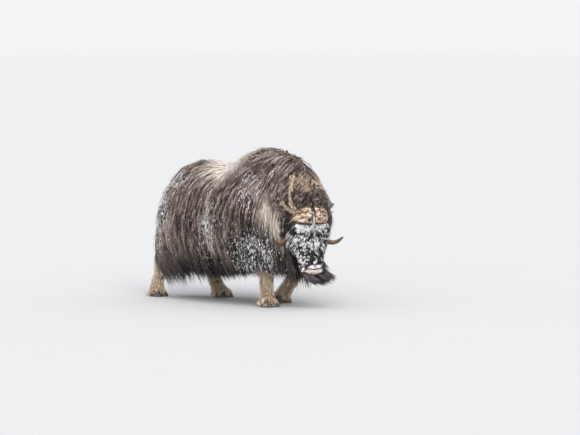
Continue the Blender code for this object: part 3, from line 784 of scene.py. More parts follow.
def coat_material():
    """The coat: a tone for each lock and strand; frost in flecks on long hair, all over short hair."""
    nodes = Nodes("coat")
    lock, strand, along, own_number = nodes.attribute("strand")
    marks = nodes.attribute("marks")
    where = nodes.place()
    uneven = nodes.noise(nodes.stretched(where, (1.0, 1.0, 0.3)), 62.0)
    own_tone = nodes.plus(nodes.times(lock, 0.68), nodes.times(strand, 0.24))
    tone = nodes.plus(own_tone, nodes.times(nodes.minus(uneven, 0.46), 0.9))
    spot = nodes.noise(nodes.stretched(where, (1.0, 1.0, 0.42)), 78.0)
    settled = nodes.plus(spot, nodes.times(marks[2], 0.36))
    settled = nodes.plus(settled, nodes.times(own_number, 0.06))
    flecks = nodes.between(0.74, 0.765, settled)
    all_over = nodes.math("LESS_THAN", own_number, 0.5 * ALL_OVER)
    covered = nodes.times(marks[2], nodes.between(0.02, 0.25, along))
    colour = fur_colour(nodes, tone, along, marks, nodes.mix(all_over, flecks, covered))
    return nodes.finish(Base_Color=colour, Roughness=0.55, Specular_IOR_Level=0.20)


def skin_material():
    """The skin under the coat: coloured like the coat, and dark and moist where it is bare."""
    nodes = Nodes("skin")
    where = nodes.place()
    hairs = nodes.noise(nodes.stretched(where, (1.0, 1.0, 0.35)), 420.0, 3.0, 0.6)
    tone = nodes.times(nodes.noise(where, 38.0, 3.0, 0.6), 0.9)
    bare = nodes.attribute("bare")[0]
    marks = nodes.attribute("marks")
    # Read at 0.3 along a strand, the skin also takes part of the coat's painted root shade.
    colour = nodes.mix(bare, fur_colour(nodes, tone, 0.3, marks, marks[2]), rgba(*BARE_SKIN))
    grain = nodes.noise(where, 900.0)
    normal = nodes.bump(nodes.mix(bare, hairs, grain), 0.0012)
    roughness = nodes.minus(0.75, nodes.times(bare, 0.4))
    return nodes.finish(Base_Color=colour, Roughness=roughness, Specular_IOR_Level=0.3, Normal=normal)


# Markings, the same on skin and coat


def four_marks(points, pale=0.0, dark=0.0, frost=0.0, tan=0.0):
    """Pale, dark, frost and tan at points, each from one value or from one for every point."""
    flat = np.zeros(points.shape[:-1])
    return np.stack([flat + value for value in (pale, dark, frost, tan)], axis=-1)


def body_marks(points):
    """Pale, dark, frost and tan on the trunk and neck, with painted light in a band down each side of the
    neck and painted shade above the forelegs.
    """
    body = forward, left, up = body_places(points)
    near = (forward, -np.abs(left), up)
    saddle = blob(body, (0.02, 0.0, 1.23), (0.31, 0.38, 0.20), 0.4)
    # Painted light: a pale band down each side of the neck, along the line where neck meets shoulder.
    neck_line = np.interp(up, (0.58, 0.66, 0.78, 0.95), (0.872, 0.850, 0.787, 0.690))
    neck_light_band = 1 - ramp(0.028, 0.066, np.abs(forward - neck_line + 0.03 * (lumps(points, 30, 7) - 0.5)))
    painted_neck_light = neck_light_band * ramp(0.54, 0.62, up) * (1 - ramp(0.88, 0.98, up))
    painted_neck_light = painted_neck_light * ramp(0.18, 0.26, np.abs(left))
    pale = np.maximum(saddle, 0.85 * painted_neck_light)
    skirt = 1 - ramp(0.34, 0.56, up)
    chest = ramp(0.58, 0.72, forward) * (1 - ramp(0.50, 0.68, up))
    crown = 0.45 * blob(body, (1.00, -0.05, 0.95), (0.20, 0.26, 0.115), 0.3)
    # The shoulder above each foreleg: darkened there as painted shade, and also frosted in spots.
    shoulder = blob(near, (0.60, -0.36, 0.46), (0.28, 0.20, 0.24), 0.5)
    dark = np.maximum.reduce([skirt, chest, crown, np.minimum(1, 1.5 * shoulder)])
    rump = blob(near, (-0.74, -0.26, 0.80), (0.20, 0.20, 0.40), 0.5)
    hip = blob(near, (-0.52, -0.25, 1.06), (0.18, 0.16, 0.13), 0.5)
    flank = blob(near, (0.04, -0.42, 0.66), (0.12, 0.14, 0.24), 0.6)
    neck_top = blob(near, (0.50, -0.33, 1.02), (0.14, 0.14, 0.22), 0.6)
    spots = [0.60 * shoulder, 0.74 * rump, 0.60 * hip, 0.56 * flank, 0.52 * neck_top]
    spots.append(0.16 * ramp(0.42, 0.60, up))
    clusters = 0.45 + 0.55 * ramp(0.38, 0.62, lumps(points, 24, 16))
    frost = np.maximum.reduce(spots) * clusters * (1 - 0.6 * saddle)
    frost = np.where(left > 0, 0.6 * frost, frost)
    matted = ramp(0.36, 0.58, lumps(points, 60, 14))
    straw = matted * blob(body, (0.93, -0.02, 1.09), (0.13, 0.20, 0.085), 0.4)
    return four_marks(points, pale, dark, frost, straw)


def eye_distance(points):
    """How far points are from the nearer eye."""
    return to_nearest(points, [on_side(EYE_PLACE, side) for side in (1, -1)])


def nostril_distance(points):
    """How far points are from the nearer nostril."""
    return to_nearest(points, [on_side(NOSTRIL_PLACE, side) for side in (1, -1)])


def chin_end(aside):
    """How far along the head the pale chin reaches: less at its sides."""
    return 0.590 - 0.030 * np.minimum(1, (aside / 0.09) ** 2)


def pale_lips(along, over, aside, uneven):
    """The pale muzzle: the chin down to the beard, and the middle of the upper lip."""
    edge = 0.512 + 0.042 * ramp(0.040, 0.085, np.abs(aside)) + uneven
    end = chin_end(aside)
    within = ramp(edge, edge + 0.014, along) * ramp(-0.050, -0.025, over + uneven)
    return within * (1 - ramp(end, end + 0.006, along))


def head_marks(points):
    """Pale, dark, frost and tan on the head: pale lips, and a dark face white with frost."""
    head = along, over, aside = head_places(points)
    uneven = 0.022 * (lumps(points, 60, 6) - 0.5)
    lips = pale_lips(along, over, aside, uneven)
    ears = 0.25 * ramp(0.205, 0.225, np.abs(aside)) * (1 - ramp(0.06, 0.09, along))
    spots = lumps(points, 90, 15)
    pale = np.maximum(lips * (1 - 0.70 * ramp(0.50, 0.72, spots)), ears)
    brow = blob(head, (0.185, 0.11, -0.03), (0.055, 0.12, 0.18), 0.6)
    cheek = blob(head, (0.30, 0.02, -0.165), (0.11, 0.13, 0.085), 0.6)
    fleck = blob(head, (0.335, 0.10, 0.012), (0.026, 0.05, 0.012), 0.3)
    bridge = blob(head, (0.37, 0.10, -0.03), (0.07, 0.06, 0.06), 0.6)
    between = blob(head, (0.275, 0.10, -0.020), (0.090, 0.06, 0.040), 0.8)
    nose = blob(head, (0.475, 0.08, 0.0), (0.045, 0.06, 0.08), 0.5)
    far_side = ramp(0.03, 0.09, aside) * ramp(0.18, 0.21, along)
    lip_frost = 0.62 * blob(head, (0.530, 0.07, 0.01), (0.030, 0.06, 0.075), 0.5)
    places = [0.88 * brow, 0.66 * cheek, 1.5 * fleck, 0.58 * bridge, 0.50 - 0.08 * ramp(0.33, 0.45, along)]
    frost = np.maximum.reduce(places) - (1 - fleck) * (0.22 * between + 0.12 * nose + 0.14 * far_side)
    frost = frost * ramp(-0.09, -0.01, over + 0.10 * cheek) * (1 - lips)
    frost = np.maximum(frost, lip_frost * lips) * (1 - ears)
    frost = frost * (0.1 + 0.9 * ramp(0.026, 0.042, eye_distance(points))) * (1 - ramp(0.57, 0.59, along))
    crown = 1 - ramp(0.05, 0.08, along)
    frost = np.where(crown > 0.5, 0.10, frost)
    dark = (1 - lips) * (1 - ears) * (1 - 0.55 * crown)
    return four_marks(points, pale, dark, frost)


def beard_marks(points):
    """Dark all over, with hardly any frost."""
    return four_marks(points, dark=1.0, frost=0.02)


def leg_marks(points):
    """Tan up to the knee and dark above it, with a little frost."""
    _, _, up = body_places(points)
    tan = 1 - ramp(0.33, 0.45, up)
    return four_marks(points, dark=1 - tan, frost=0.10, tan=tan)


def frosted(points):
    """How readily frost settles at points: from 0, where it settles first, to 1."""
    turned = points @ np.array(Matrix.Rotation(0.6, 3, (0.3, 0.5, 0.8)))
    coarse, middle, fine = lumps(points, 40, 1), lumps(turned, 92, 2), lumps(turned + points, 130, 9)
    return np.clip(0.5 + 2.3 * (0.30 * coarse + 0.40 * middle + 0.30 * fine - 0.5), 0.02, 0.98)


# Coat

GUIDE_STEPS = 8  # steps along each lock
FEWEST_STEPS = 3  # a lock that meets a horn within this many steps is left out
TRIES, CLOSEST = 2.2, 0.8  # points tried in each square of the spacing, and the least distance in spacings
# How far apart the roots of the locks are
BODY_SPACING, FACE_SPACING, LEG_SPACING = 0.0213, 0.0080, 0.0105
CROWN_SPACING, BEARD_SPACING = 0.011, 0.0095
# How many locks lie over each horn, in the boss's gap and along each band of matted wool
TEMPLE_LOCKS, GAP_LOCKS, BAND_LOCKS = 190, 150, 60
SHORTEST = 0.7  # the shortest strand of a lock, as a share of the lock
STRAY_SHARE = 0.10  # share of the strands that stick out
SHORT_HAIR = 0.08  # the mean length under which frost lies on whole strands
FROST_HAIR = 0.14  # how much a short strand's own tone counts in where frost settles
NEAR_HEAD = 0.62  # how far forward the body's locks begin to keep off skull and horns
LEG_CLEAR, HORN_CLEAR = 0.024, 0.006  # how far hair keeps off legs and horns
BOSS_CLEAR, TIP_CLEAR = 0.03, 0.06  # how near to boss and tip the coat begins to lie flat
PATCH = 0.003  # how wide a strand's patch is on the bake's map
COAT_SEED = 7


class Locks:
    """Locks of the coat, each a smooth path from its root, with the way out and across at each step."""

    def __init__(self, points, outs, length):
        self.points = points
        self.outs = outs
        self.length = length
        self.tangents = unit(np.gradient(points, axis=1))
        self.sides = unit(np.cross(self.tangents, outs))

    def __len__(self):
        return len(self.points)

    def chosen(self, keep):
        """Only the locks that are kept."""
        return Locks(self.points[keep], self.outs[keep], self.length[keep])

    def split(self, count, rng, spread):
        """Each lock as several finer ones side by side."""
        pick = np.repeat(np.arange(len(self)), count)
        along = np.linspace(0, 1, self.points.shape[1])[None, :, None]
        beside, ahead, lift = rng.uniform(-1, 1, (3, len(pick), 1, 1)) * spread
        moved = self.sides[pick] * beside * (1 - 0.45 * along) + self.tangents[pick] * ahead
        moved += self.outs[pick] * lift * 0.5 * np.minimum(2 * along, 1)
        return Locks(self.points[pick] + moved, self.outs[pick], self.length[pick])


def scattered(corners, normals, spacing, rng, keep):
    """Points strewn evenly over triangles, at least the spacing apart where keep says so."""
    edge_a, edge_b = corners[:, 1] - corners[:, 0], corners[:, 2] - corners[:, 0]
    area = 0.5 * np.linalg.norm(np.cross(edge_a, edge_b), axis=1)
    count = int(TRIES * area.sum() / spacing**2)
    pick = rng.choice(len(area), count, p=area / area.sum())
    u, v = rng.random((2, count, 1))
    fold = u + v > 1
    u, v = np.where(fold, 1 - u, u), np.where(fold, 1 - v, v)
    points = corners[pick, 0] + u * edge_a[pick] + v * edge_b[pick]
    ways = unit(normals[pick, 0] * (1 - u - v) + normals[pick, 1] * u + normals[pick, 2] * v)
    good = keep(points, ways)
    points, ways = points[good], ways[good]
    filled_cells, chosen = {}, []
    nearby = [(a, b, c) for a in (-1, 0, 1) for b in (-1, 0, 1) for c in (-1, 0, 1)]
    cells = np.floor(points / spacing).astype(int).tolist()
    for i, ((x, y, z), point) in enumerate(zip(cells, points.tolist())):
        found = (filled_cells.get((x + a, y + b, z + c), ()) for a, b, c in nearby)
        if not any(math.dist(point, other) < CLOSEST * spacing for others in found for other in others):
            filled_cells.setdefault((x, y, z), []).append(point)
            chosen.append(i)
    return points[chosen], ways[chosen]


def pushed_out(tree, place, clearance, reach=0.12):
    """A place moved just outside a closed surface that it lies in."""
    found, normal, _, distance = tree.find_nearest(place, reach)
    if found is None:
        return place
    depth = (place - found).dot(normal)
    if depth >= 0 and distance >= clearance:
        return place
    return found + normal * clearance


def clear_of_legs(place):
    """The place itself, or a place level with it just outside the leg that it is in."""
    for _, rows, _ in STANCE:
        for above, below in zip(rows, rows[1:]):
            if not below[2] <= place.z <= above[2]:
                continue
            u = (above[2] - place.z) / (above[2] - below[2])
            forward, left, _, wide, long = [a + (b - a) * u for a, b in zip(above, below)]
            here_forward, here_left, _ = body_places(np.array(place))
            ahead, aside = here_forward - forward, here_left - left
            reach = math.hypot(ahead / (long + LEG_CLEAR), aside / (wide + LEG_CLEAR))
            if reach < 1:
                place = Vector(at(forward + ahead / reach, left + aside / reach, place.z))
    return place


def traced(tree, root, outward, length, flow, rise, obstacles=(), horns=(), sink=0.004, hangs=True):
    """One lock's points and outward directions: over the skin, then hanging free under it.

    It lies flatter within the given reach of each horn, and is shorter where it would meet one.
    """
    place, out = Vector(root), Vector(outward)
    stride = length / GUIDE_STEPS
    way = None
    points, outs = [], []
    free = False
    for k in range(GUIDE_STEPS + 1):
        share = k / GUIDE_STEPS
        flat = 1.0
        for horn, reach in horns:
            found, _, _, distance = horn.find_nearest(place, reach)
            if found is not None:
                flat = min(flat, distance / reach)
        height = (0.12 + 0.88 * flat) * rise * (1 - (1 - min(1.0, 1.6 * share)) ** 2) - sink * (1 - share)
        shown = place + out * height
        if free:
            shown = clear_of_legs(shown)
        for surface, clearance in obstacles:
            shown = pushed_out(surface, shown, clearance)
        if flat < 1 and meets(horns, shown):
            if k <= FEWEST_STEPS:
                return None
            shorter = length * (k - 1) / GUIDE_STEPS
            return traced(tree, root, outward, shorter, flow, 0.6 * rise, obstacles, horns, sink, hangs)
        points.append(shown)
        outs.append(out.copy())
        wanted = Vector(flow(place, out)).normalized()
        if not free:
            wanted -= out * wanted.dot(out)
            wanted.normalize()
        way = wanted if way is None else (way + wanted).normalized()
        place = place + way * stride
        if free:
            continue
        found, normal, _, _ = tree.find_nearest(place)
        if hangs and normal.z < -0.3:
            free = True
            out = Vector((out.x, out.y, 0))
            out = out.normalized() if out.length > 0.2 else Vector((0, 0, -1))
        else:
            place, out = found, normal
    return points, outs


def meets(horns, place):
    """Whether a place lies in a horn, or all but touches one."""
    for horn, _ in horns:
        found, normal, _, distance = horn.find_nearest(place, 0.05)
        if found is not None and (distance < HORN_CLEAR or (place - found).dot(normal) < 0):
            return True
    return False


def grown(tree, roots, ways, lengths, flow, rises, **how):
    """Locks traced from many roots, without those that a horn leaves no room for."""
    points, outs, kept = [], [], []
    for i, (root, way, length, rise) in enumerate(zip(roots, ways, lengths, rises)):
        lock = traced(tree, root, way, length, flow, rise, **how)
        if lock is not None:
            points.append([tuple(p) for p in lock[0]])
            outs.append([tuple(o) for o in lock[1]])
            kept.append(i)
    return Locks(np.array(points), np.array(outs), np.asarray(lengths)[kept])


def read_along(values, share):
    """Values of each row read at its own places from 0 to 1."""
    steps = values.shape[1] - 1
    t = np.clip(share * steps, 0, steps - 1e-6)
    k = t.astype(int)
    u = (t - k)[..., None]
    row = np.arange(len(values))[:, None]
    return values[row, k] * (1 - u) + values[row, k + 1] * u


def size_limits():
    """The box that no hair passes: the solids' own, and a little more on every side but the floor's."""
    low, high = (np.array(corner) for corner in CAD_BOX)
    more = 0.022 * (high - low) + 0.006
    return (low - more) * (1, 1, 0) + (0, 0, 0.004), high + more


LIMITS = size_limits()


class Strands:
    """Fine tapered strands that fill and follow locks."""

    def __init__(self, locks, rng, per_lock, spread, half_width, rings, clump, curl, stray=0.0):
        self.rings = rings
        pick = np.repeat(np.arange(len(locks)), per_lock)
        count = len(pick)
        self.lock = pick
        self.count = count
        along = np.linspace(0, 1, rings)[None, :]
        share = along * rng.uniform(SHORTEST, 1, (count, 1))
        centre = read_along(locks.points[pick], share)
        side = unit(read_along(locks.sides[pick], share))
        out = unit(read_along(locks.outs[pick], share))
        tangent = unit(read_along(locks.tangents[pick], share))
        angle, radius = rng.uniform(0, 2 * math.pi, count), np.sqrt(rng.random(count)) * spread
        beside, ahead = radius * np.cos(angle), radius * np.sin(angle)
        clump = np.broadcast_to(clump, len(locks))[pick][:, None]
        apart = (beside[:, None] * (1 - clump * along))[..., None]
        wave = np.sin(rng.uniform(2, 5, (count, 1)) * along * 2 + rng.uniform(0, 2 * math.pi, (count, 1)))
        loose = rng.normal(0, 1, (count, 1)) * along * 1.6 + wave
        lift = rng.uniform(-0.9, 0.9, (count, 1)) * np.minimum(along * 2, 1) * spread * 0.5
        strays = rng.random((count, 1)) < STRAY_SHARE
        lift = lift + strays * rng.uniform(0.3, 1.0, (count, 1)) * stray * along**2
        sway = (curl * loose * along)[..., None]
        slip = (ahead[:, None] * (1 - 0.4 * along))[..., None]
        self.path = centre + side * (apart + sway) + tangent * slip + out * lift[..., None]
        tangent = unit(np.gradient(self.path, axis=1))
        self.side = unit(np.cross(tangent, out))
        self.out = np.cross(self.side, tangent)
        taper = np.interp(along[0], (0, 0.25, 0.7, 1), (0.7, 1.0, 0.62, 0.0))
        self.half = half_width * rng.uniform(0.75, 1.25, (count, 1)) * taper[None, :]
        self.tone = rng.random(count)

    def corners(self):
        """Each strand's points: three at every ring but the last, then its tip."""
        half = self.half[:, :-1, None]
        path, side, out = self.path[:, :-1], self.side[:, :-1], self.out[:, :-1]
        three = np.stack((path - side * half, path + side * half, path + out * half * 0.9), axis=2)
        flat = three.reshape(self.count, -1, 3)
        return np.clip(np.concatenate((flat, self.path[:, -1:]), axis=1), *LIMITS)

    def triangles(self):
        """The triangles of one strand, as places among its points."""
        last = 3 * (self.rings - 2)
        made = [(0, 2, 1)]
        for k in range(self.rings - 2):
            for i in range(3):
                a, b = 3 * k + i, 3 * k + (i + 1) % 3
                made += [(a, b, b + 3), (a, b + 3, a + 3)]
        made += [(last + i, last + (i + 1) % 3, last + 3) for i in range(3)]
        return np.array(made)


def unwrapped(points, start, end):
    """Angle round, and way along, a capsule that fits the flesh: an unwrap of its own shape."""
    axis = end - start
    length = np.linalg.norm(axis)
    axis = axis / length
    along = (points - start) @ axis
    near = start + np.clip(along, 0, length)[:, None] * axis
    from_axis = points - near
    distance = np.linalg.norm(from_axis, axis=1)
    over = np.arcsin(np.clip((from_axis @ axis) / np.maximum(distance, 1e-6), -1, 1))
    across = unit(np.cross(axis, (0.3, 0.2, 0.93)))
    other = np.cross(axis, across)
    angle = np.arctan2(from_axis @ other, from_axis @ across)
    return np.stack((angle / (2 * math.pi), np.clip(along, 0, length) + over * 0.2), axis=-1)


def filled(values):
    """Values stretched over the map's square, with a margin."""
    low, high = values.min(axis=0), values.max(axis=0)
    return 0.01 + (values - low) / np.maximum(high - low, 1e-6) * 0.975


def frost_on(locks, strands, amount, rng):
    """How much frost each strand carries, and a number of its own."""
    if locks.length.mean() < SHORT_HAIR:
        pick = frosted(locks.points[strands.lock, 2]) + FROST_HAIR * (strands.tone - 0.5)
        return ramp(-0.05, 0.05, amount - pick[:, None]), np.full(strands.count, ALL_OVER)
    return np.clip(amount, 0, 1), rng.random(strands.count)


def coat_piece(name, locks, tones, marks_of, capsule, material, rng, **shape):
    """One piece of the coat: a mesh of strands on locks, with markings, tones and a bake map."""
    strands = Strands(locks, rng, **shape)
    corners = strands.corners()
    count, per = corners.shape[:2]
    index = (np.arange(count)[:, None, None] * per + strands.triangles()[None]).reshape(-1, 3)
    mesh = bpy.data.meshes.new(name)
    mesh.vertices.add(count * per)
    mesh.vertices.foreach_set("co", corners.astype(np.float32).ravel())
    mesh.loops.add(index.size)
    mesh.loops.foreach_set("vertex_index", index.astype(np.int32).ravel())
    mesh.polygons.add(len(index))
    mesh.polygons.foreach_set("loop_start", np.arange(0, index.size, 3, dtype=np.int32))
    mesh.polygons.foreach_set("use_smooth", np.ones(len(index), bool))
    mesh.update(calc_edges=True)

    last = strands.rings - 1
    along = np.append(np.repeat(np.arange(last), 3), last) / last
    across = np.append(np.tile((0.0, 1.0, 0.5), last), 0.5)
    roots = filled(unwrapped(locks.points[:, 0], *capsule))[strands.lock]
    jitter = np.stack((strands.tone, np.roll(strands.tone, 1)), axis=-1) * PATCH
    uv = (roots + jitter)[:, None] + (np.stack((across, along), axis=-1) * PATCH)[None]
    layer = mesh.uv_layers.new(name="OFBake")
    layer.data.foreach_set("uv", uv.reshape(-1, 2)[index.ravel()].astype(np.float32).ravel())

    marks = marks_of(corners)
    marks[..., 2], own_number = frost_on(locks, strands, marks[..., 2], rng)
    strand = np.ones((count, per, 4), np.float32)
    strand[..., 0] = tones[strands.lock][:, None]
    strand[..., 1] = strands.tone[:, None]
    strand[..., 2] = along[None]
    strand[..., 3] = own_number[:, None]
    store(mesh, "strand", strand)
    store(mesh, "marks", marks)
    mesh.materials.append(material)
    made = put(name, mesh)
    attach(made, "root")
    return made


def tones_round(middle, spread, count, rng):
    """Tones of many locks, strewn round a middle one."""
    return np.clip(middle + rng.normal(0, spread, count), 0, 1)


def path_lengths(points):
    """How long each of several paths is."""
    return np.linalg.norm(np.diff(points, axis=1), axis=-1).sum(axis=1)


# Where the coat parts, as forward and left: along the spine, then on the left of the neck
MEDIAL = np.array([(-0.50, 0), (0.25, 0), (0.48, 0.05), (0.75, 0.09), (0.95, 0.06)])


def away_from_spine(forward, left):
    """The level direction from the body's middle line to a place, fading out close to the line."""
    here = np.array((forward, left))
    best = None
    for a, b in zip(MEDIAL, MEDIAL[1:]):
        u = np.clip((here - a) @ (b - a) / ((b - a) @ (b - a)), 0, 1)
        off = here - (a + (b - a) * u)
        if best is None or off @ off < best @ best:
            best = off
    far = math.hypot(*best)
    fade = 0.14 - 0.10 * ramp(0.30, 0.50, forward)
    ahead, aside = best / max(1e-6, far) * ramp(0.0, fade, far)
    return FORWARD * ahead + LEFT * aside


def body_flow(place, outward):
    """The lie of the body's coat: off the parting and down, back over the hump, forward in the skirt."""
    forward, left, up = body_places(np.array(place))
    mane = ramp(0.40, 0.65, forward)
    hump = ramp(0.85, 1.15, up) * ramp(0.0, 0.35, forward) * (1 - ramp(0.52, 0.78, forward))
    blown = 1 - ramp(0.40, 0.85, up)
    sheltered = max(ramp(0.30, 0.60, forward) * ramp(-0.1, 0.1, left), 0.8 * ramp(0.75, 0.90, forward))
    hanging = 1 - ramp(-0.84, -0.72, forward)
    drift = 0.78 * blown * (1 - 1.2 * sheltered) + 0.35 * ramp(-0.1, -0.7, forward) * blown
    drift = drift * (1 - 0.85 * hanging)
    top = max(0.0, outward.z)
    drift -= 0.60 * hump + 0.8 * top**3 * (1 - ramp(0.45, 0.70, forward))
    drift += 0.09 * noise.noise(place * 4.0) + 0.07 * noise.noise(place * 14.0)
    tousled = noise.noise(place * 15.0 + Vector((5, 0, 0))) * LEFT + noise.noise(place * 15.0) * FORWARD
    off_spine = (0.7 + 0.5 * mane) * top * away_from_spine(forward, left)
    return -UP + off_spine + drift * FORWARD + 0.30 * top * mane * tousled


# How high the skirt's lowest tips hang; how much higher they hang behind the forelegs, where and how widely
SKIRT_LOW, SKIRT_LIFT, SKIRT_LIFT_FORWARD, SKIRT_LIFT_REACH = 0.180, 0.130, 0.40, 0.52


def skirt_tip(forward):
    """How high the skirt's tips hang: lowest at the rump and chest, higher behind the forelegs."""
    return SKIRT_LOW + SKIRT_LIFT * np.exp(-(((forward - SKIRT_LIFT_FORWARD) / SKIRT_LIFT_REACH) ** 2))


def outside(surface, points, clearance, reach=10.0):
    """Which points lie at least a clearance outside a closed surface."""
    good = np.ones(len(points), bool)
    for i, point in enumerate(points.tolist()):
        found, normal, _, _ = surface.find_nearest(point, reach)
        if found is not None and (Vector(point) - found).dot(normal) < clearance:
            good[i] = False
    return good


def distance_to(surfaces, points, reach):
    """How far points are from the nearest of several surfaces, up to a reach."""
    result = np.full(len(points), reach)
    for i, point in enumerate(points.tolist()):
        for surface in surfaces:
            found, _, _, distance = surface.find_nearest(point, reach)
            if found is not None:
                result[i] = min(result[i], distance)
    return result


def body_lengths(roots, horns, rng):
    """How long the body's locks are: short on saddle and crown and by the horns, and off the floor."""
    body = forward, left, up = body_places(roots)
    heights, longest = (0.36, 0.43, 0.55, 0.70, 0.87, 1.04, 1.2), (0.26, 0.33, 0.42, 0.40, 0.34, 0.28, 0.22)
    saddle = blob(body, (0.0, 0.0, 1.24), (0.27, 0.36, 0.19), 0.4)
    crown = blob(body, (0.98, -0.03, 1.03), (0.22, 0.32, 0.16), 0.6)
    rear = blob((forward, np.abs(left), up), (-0.74, 0.26, 0.56), (0.18, 0.16, 0.20), 0.5)
    lengths = np.interp(up, heights, longest)
    lengths = lengths * (1 - 0.50 * saddle) * (1 - 0.62 * crown) * (1 + 0.30 * rear)
    lengths = np.minimum(lengths, 1.4 * np.maximum(0.03, up - skirt_tip(forward) + 0.02))
    near_tip = distance_to(horns.tips, roots, TIP_CLEAR) / TIP_CLEAR
    return lengths * rng.uniform(0.75, 1.10, len(roots)) * (0.4 + 0.6 * near_tip)


def body_locks(regions, growth, horns, rng):
    """The locks of trunk and neck: those near the head keep off the skull and lie flat by the horns."""

    def keep(points, ways):
        forward, _, _ = body_places(points)
        good = (ways[:, 2] > -0.85) | (rng.random(len(points)) < 0.3)
        by_head = forward > 0.8
        good[by_head] &= outside(regions["head"], points[by_head], -0.01)
        for horn in horns.whole:
            good[by_head] &= outside(horn, points[by_head], 0.002, 0.1)
        return good

    roots, ways = scattered(*growth["body"], BODY_SPACING, rng, keep)
    body = forward, left, up = body_places(roots)
    lengths = body_lengths(roots, horns, rng)
    mane = ramp(0.40, 0.70, forward) * ramp(0.80, 1.0, up)
    lean = ramp(0.50, 0.70, forward) * ramp(0.02, 0.16, left) * (1 - ramp(0.72, 0.90, up))
    cushion = blob(body, (1.00, -0.02, 0.99), (0.16, 0.26, 0.14), 0.5)
    behind = (1 - ramp(-0.84, -0.70, forward)) * (1 - ramp(0.75, 0.95, up))
    rises = 0.022 + 0.070 * lengths + rng.uniform(-0.011, 0.013, len(roots))
    rises = (rises - 0.006 * mane + 0.034 * cushion + 0.024 * behind) * (1 - 0.75 * lean)
    longest = 1.3 * np.maximum(0.03, up - skirt_tip(forward) + 0.04)
    lengths = np.minimum(lengths * (1 - 0.45 * lean) * (1 + 0.55 * behind), longest)
    keep_off = [(regions["skull"], 0.014)] + [(shaft, 0.008) for shaft in horns.shafts]
    flat_by = [(part, BOSS_CLEAR) for part in horns.bosses + regions["ears"]]
    flat_by += [(tip, TIP_CLEAR) for tip in horns.tips]
    by_head = forward >= NEAR_HEAD
    parts = []
    for some, how in ((~by_head, {}), (by_head, {"obstacles": keep_off, "horns": flat_by})):
        grow_on = regions["body"], roots[some], ways[some], lengths[some]
        parts.append(grown(*grow_on, body_flow, rises[some], **how))
    return joined_locks(parts).split(3, rng, 0.0105)


def joined_locks(parts):
    """Several sets of locks as one."""
    points = np.concatenate([part.points for part in parts])
    outs = np.concatenate([part.outs for part in parts])
    return Locks(points, outs, np.concatenate([part.length for part in parts]))


def body_coat(regions, growth, horns, material, rng):
    """The long coat of trunk and neck, in pieces by side and by distance along the body."""
    locks = body_locks(regions, growth, horns, rng)
    forward, left, up = body_places(locks.points[:, 0])
    clump = 0.62 - 0.30 * ramp(0.50, 0.80, up)
    capsule = (at(-0.55, 0.0, 0.78), at(0.75, -0.03, 0.85))
    bounds = (-2.0, -0.45, 0.00, 0.42, 0.72, 2.0)
    titles = ("rump", "ribs", "shoulder", "neck", "mane")
    for side, there in (("right", left < 0), ("left", left >= 0)):
        for title, low, high in zip(titles, bounds, bounds[1:]):
            chosen = there & (forward >= low) & (forward < high)
            part = locks.chosen(chosen)
            piece = coat_piece(
                f"coat_{title}_{side}", part, lock_tones(part, rng), body_marks, capsule, material, rng,
                per_lock=3, spread=0.0042, half_width=0.0021, rings=4, clump=clump[chosen],
                curl=0.0022, stray=0.035,
            )


def lock_tones(locks, rng):
    """How light each lock is: uneven from lock to lock, in fine and broad streaks down the coat."""
    roots = locks.points[:, 0]
    fine, broad = lumps(roots * (1, 1, 0.12), 72, 3), lumps(roots * (1, 1, 0.35), 13, 4)
    forward, left, up = body_places(roots)
    rear = blob((forward, np.abs(left), up), (-0.76, 0.28, 0.56), (0.12, 0.14, 0.16), 0.5)
    tones = 0.52 + 1.20 * (fine - 0.5) + 0.70 * (broad - 0.5) + rng.normal(0, 0.32, len(roots))
    tones = tones + 0.60 * rear * (rng.random(len(roots)) < 0.5) + 0.40 * body_marks(roots)[:, 0]
    return np.clip(tones, 0, 1)


# Fur of the face and legs


def head_flow(place, outward):
    """The lie of the head's fur: down the face, and back along the cheeks."""
    _, _, aside = head_places(np.array(place))
    spread = 0.40 * np.clip(aside / 0.12, -1, 1) + 0.5 * noise.noise(place * 24.0)
    sideways = abs(outward.dot(Vector(HEAD_LEFT)))
    back = 0.2 + 0.9 * ramp(0.5, 0.9, sideways) + 0.6 * noise.noise(place * 18.0)
    return ALONG + spread * (1 - sideways) * HEAD_LEFT - back * OVER


def clear_of_openings(points, mouth):
    """Where the face grows fur: away from the eyes, nostrils and the line of the mouth."""
    off_eyes = eye_distance(points) > EYE_RADIUS + 0.006
    return off_eyes & (nostril_distance(points) > 0.016) & (to_nearest(points, mouth) > 0.012)


def off_horns(good, points, horns, clearance):
    """Which of the good points also lie outside both horns."""
    for horn in horns.whole:
        good[good] &= outside(horn, points[good], clearance)
    return good


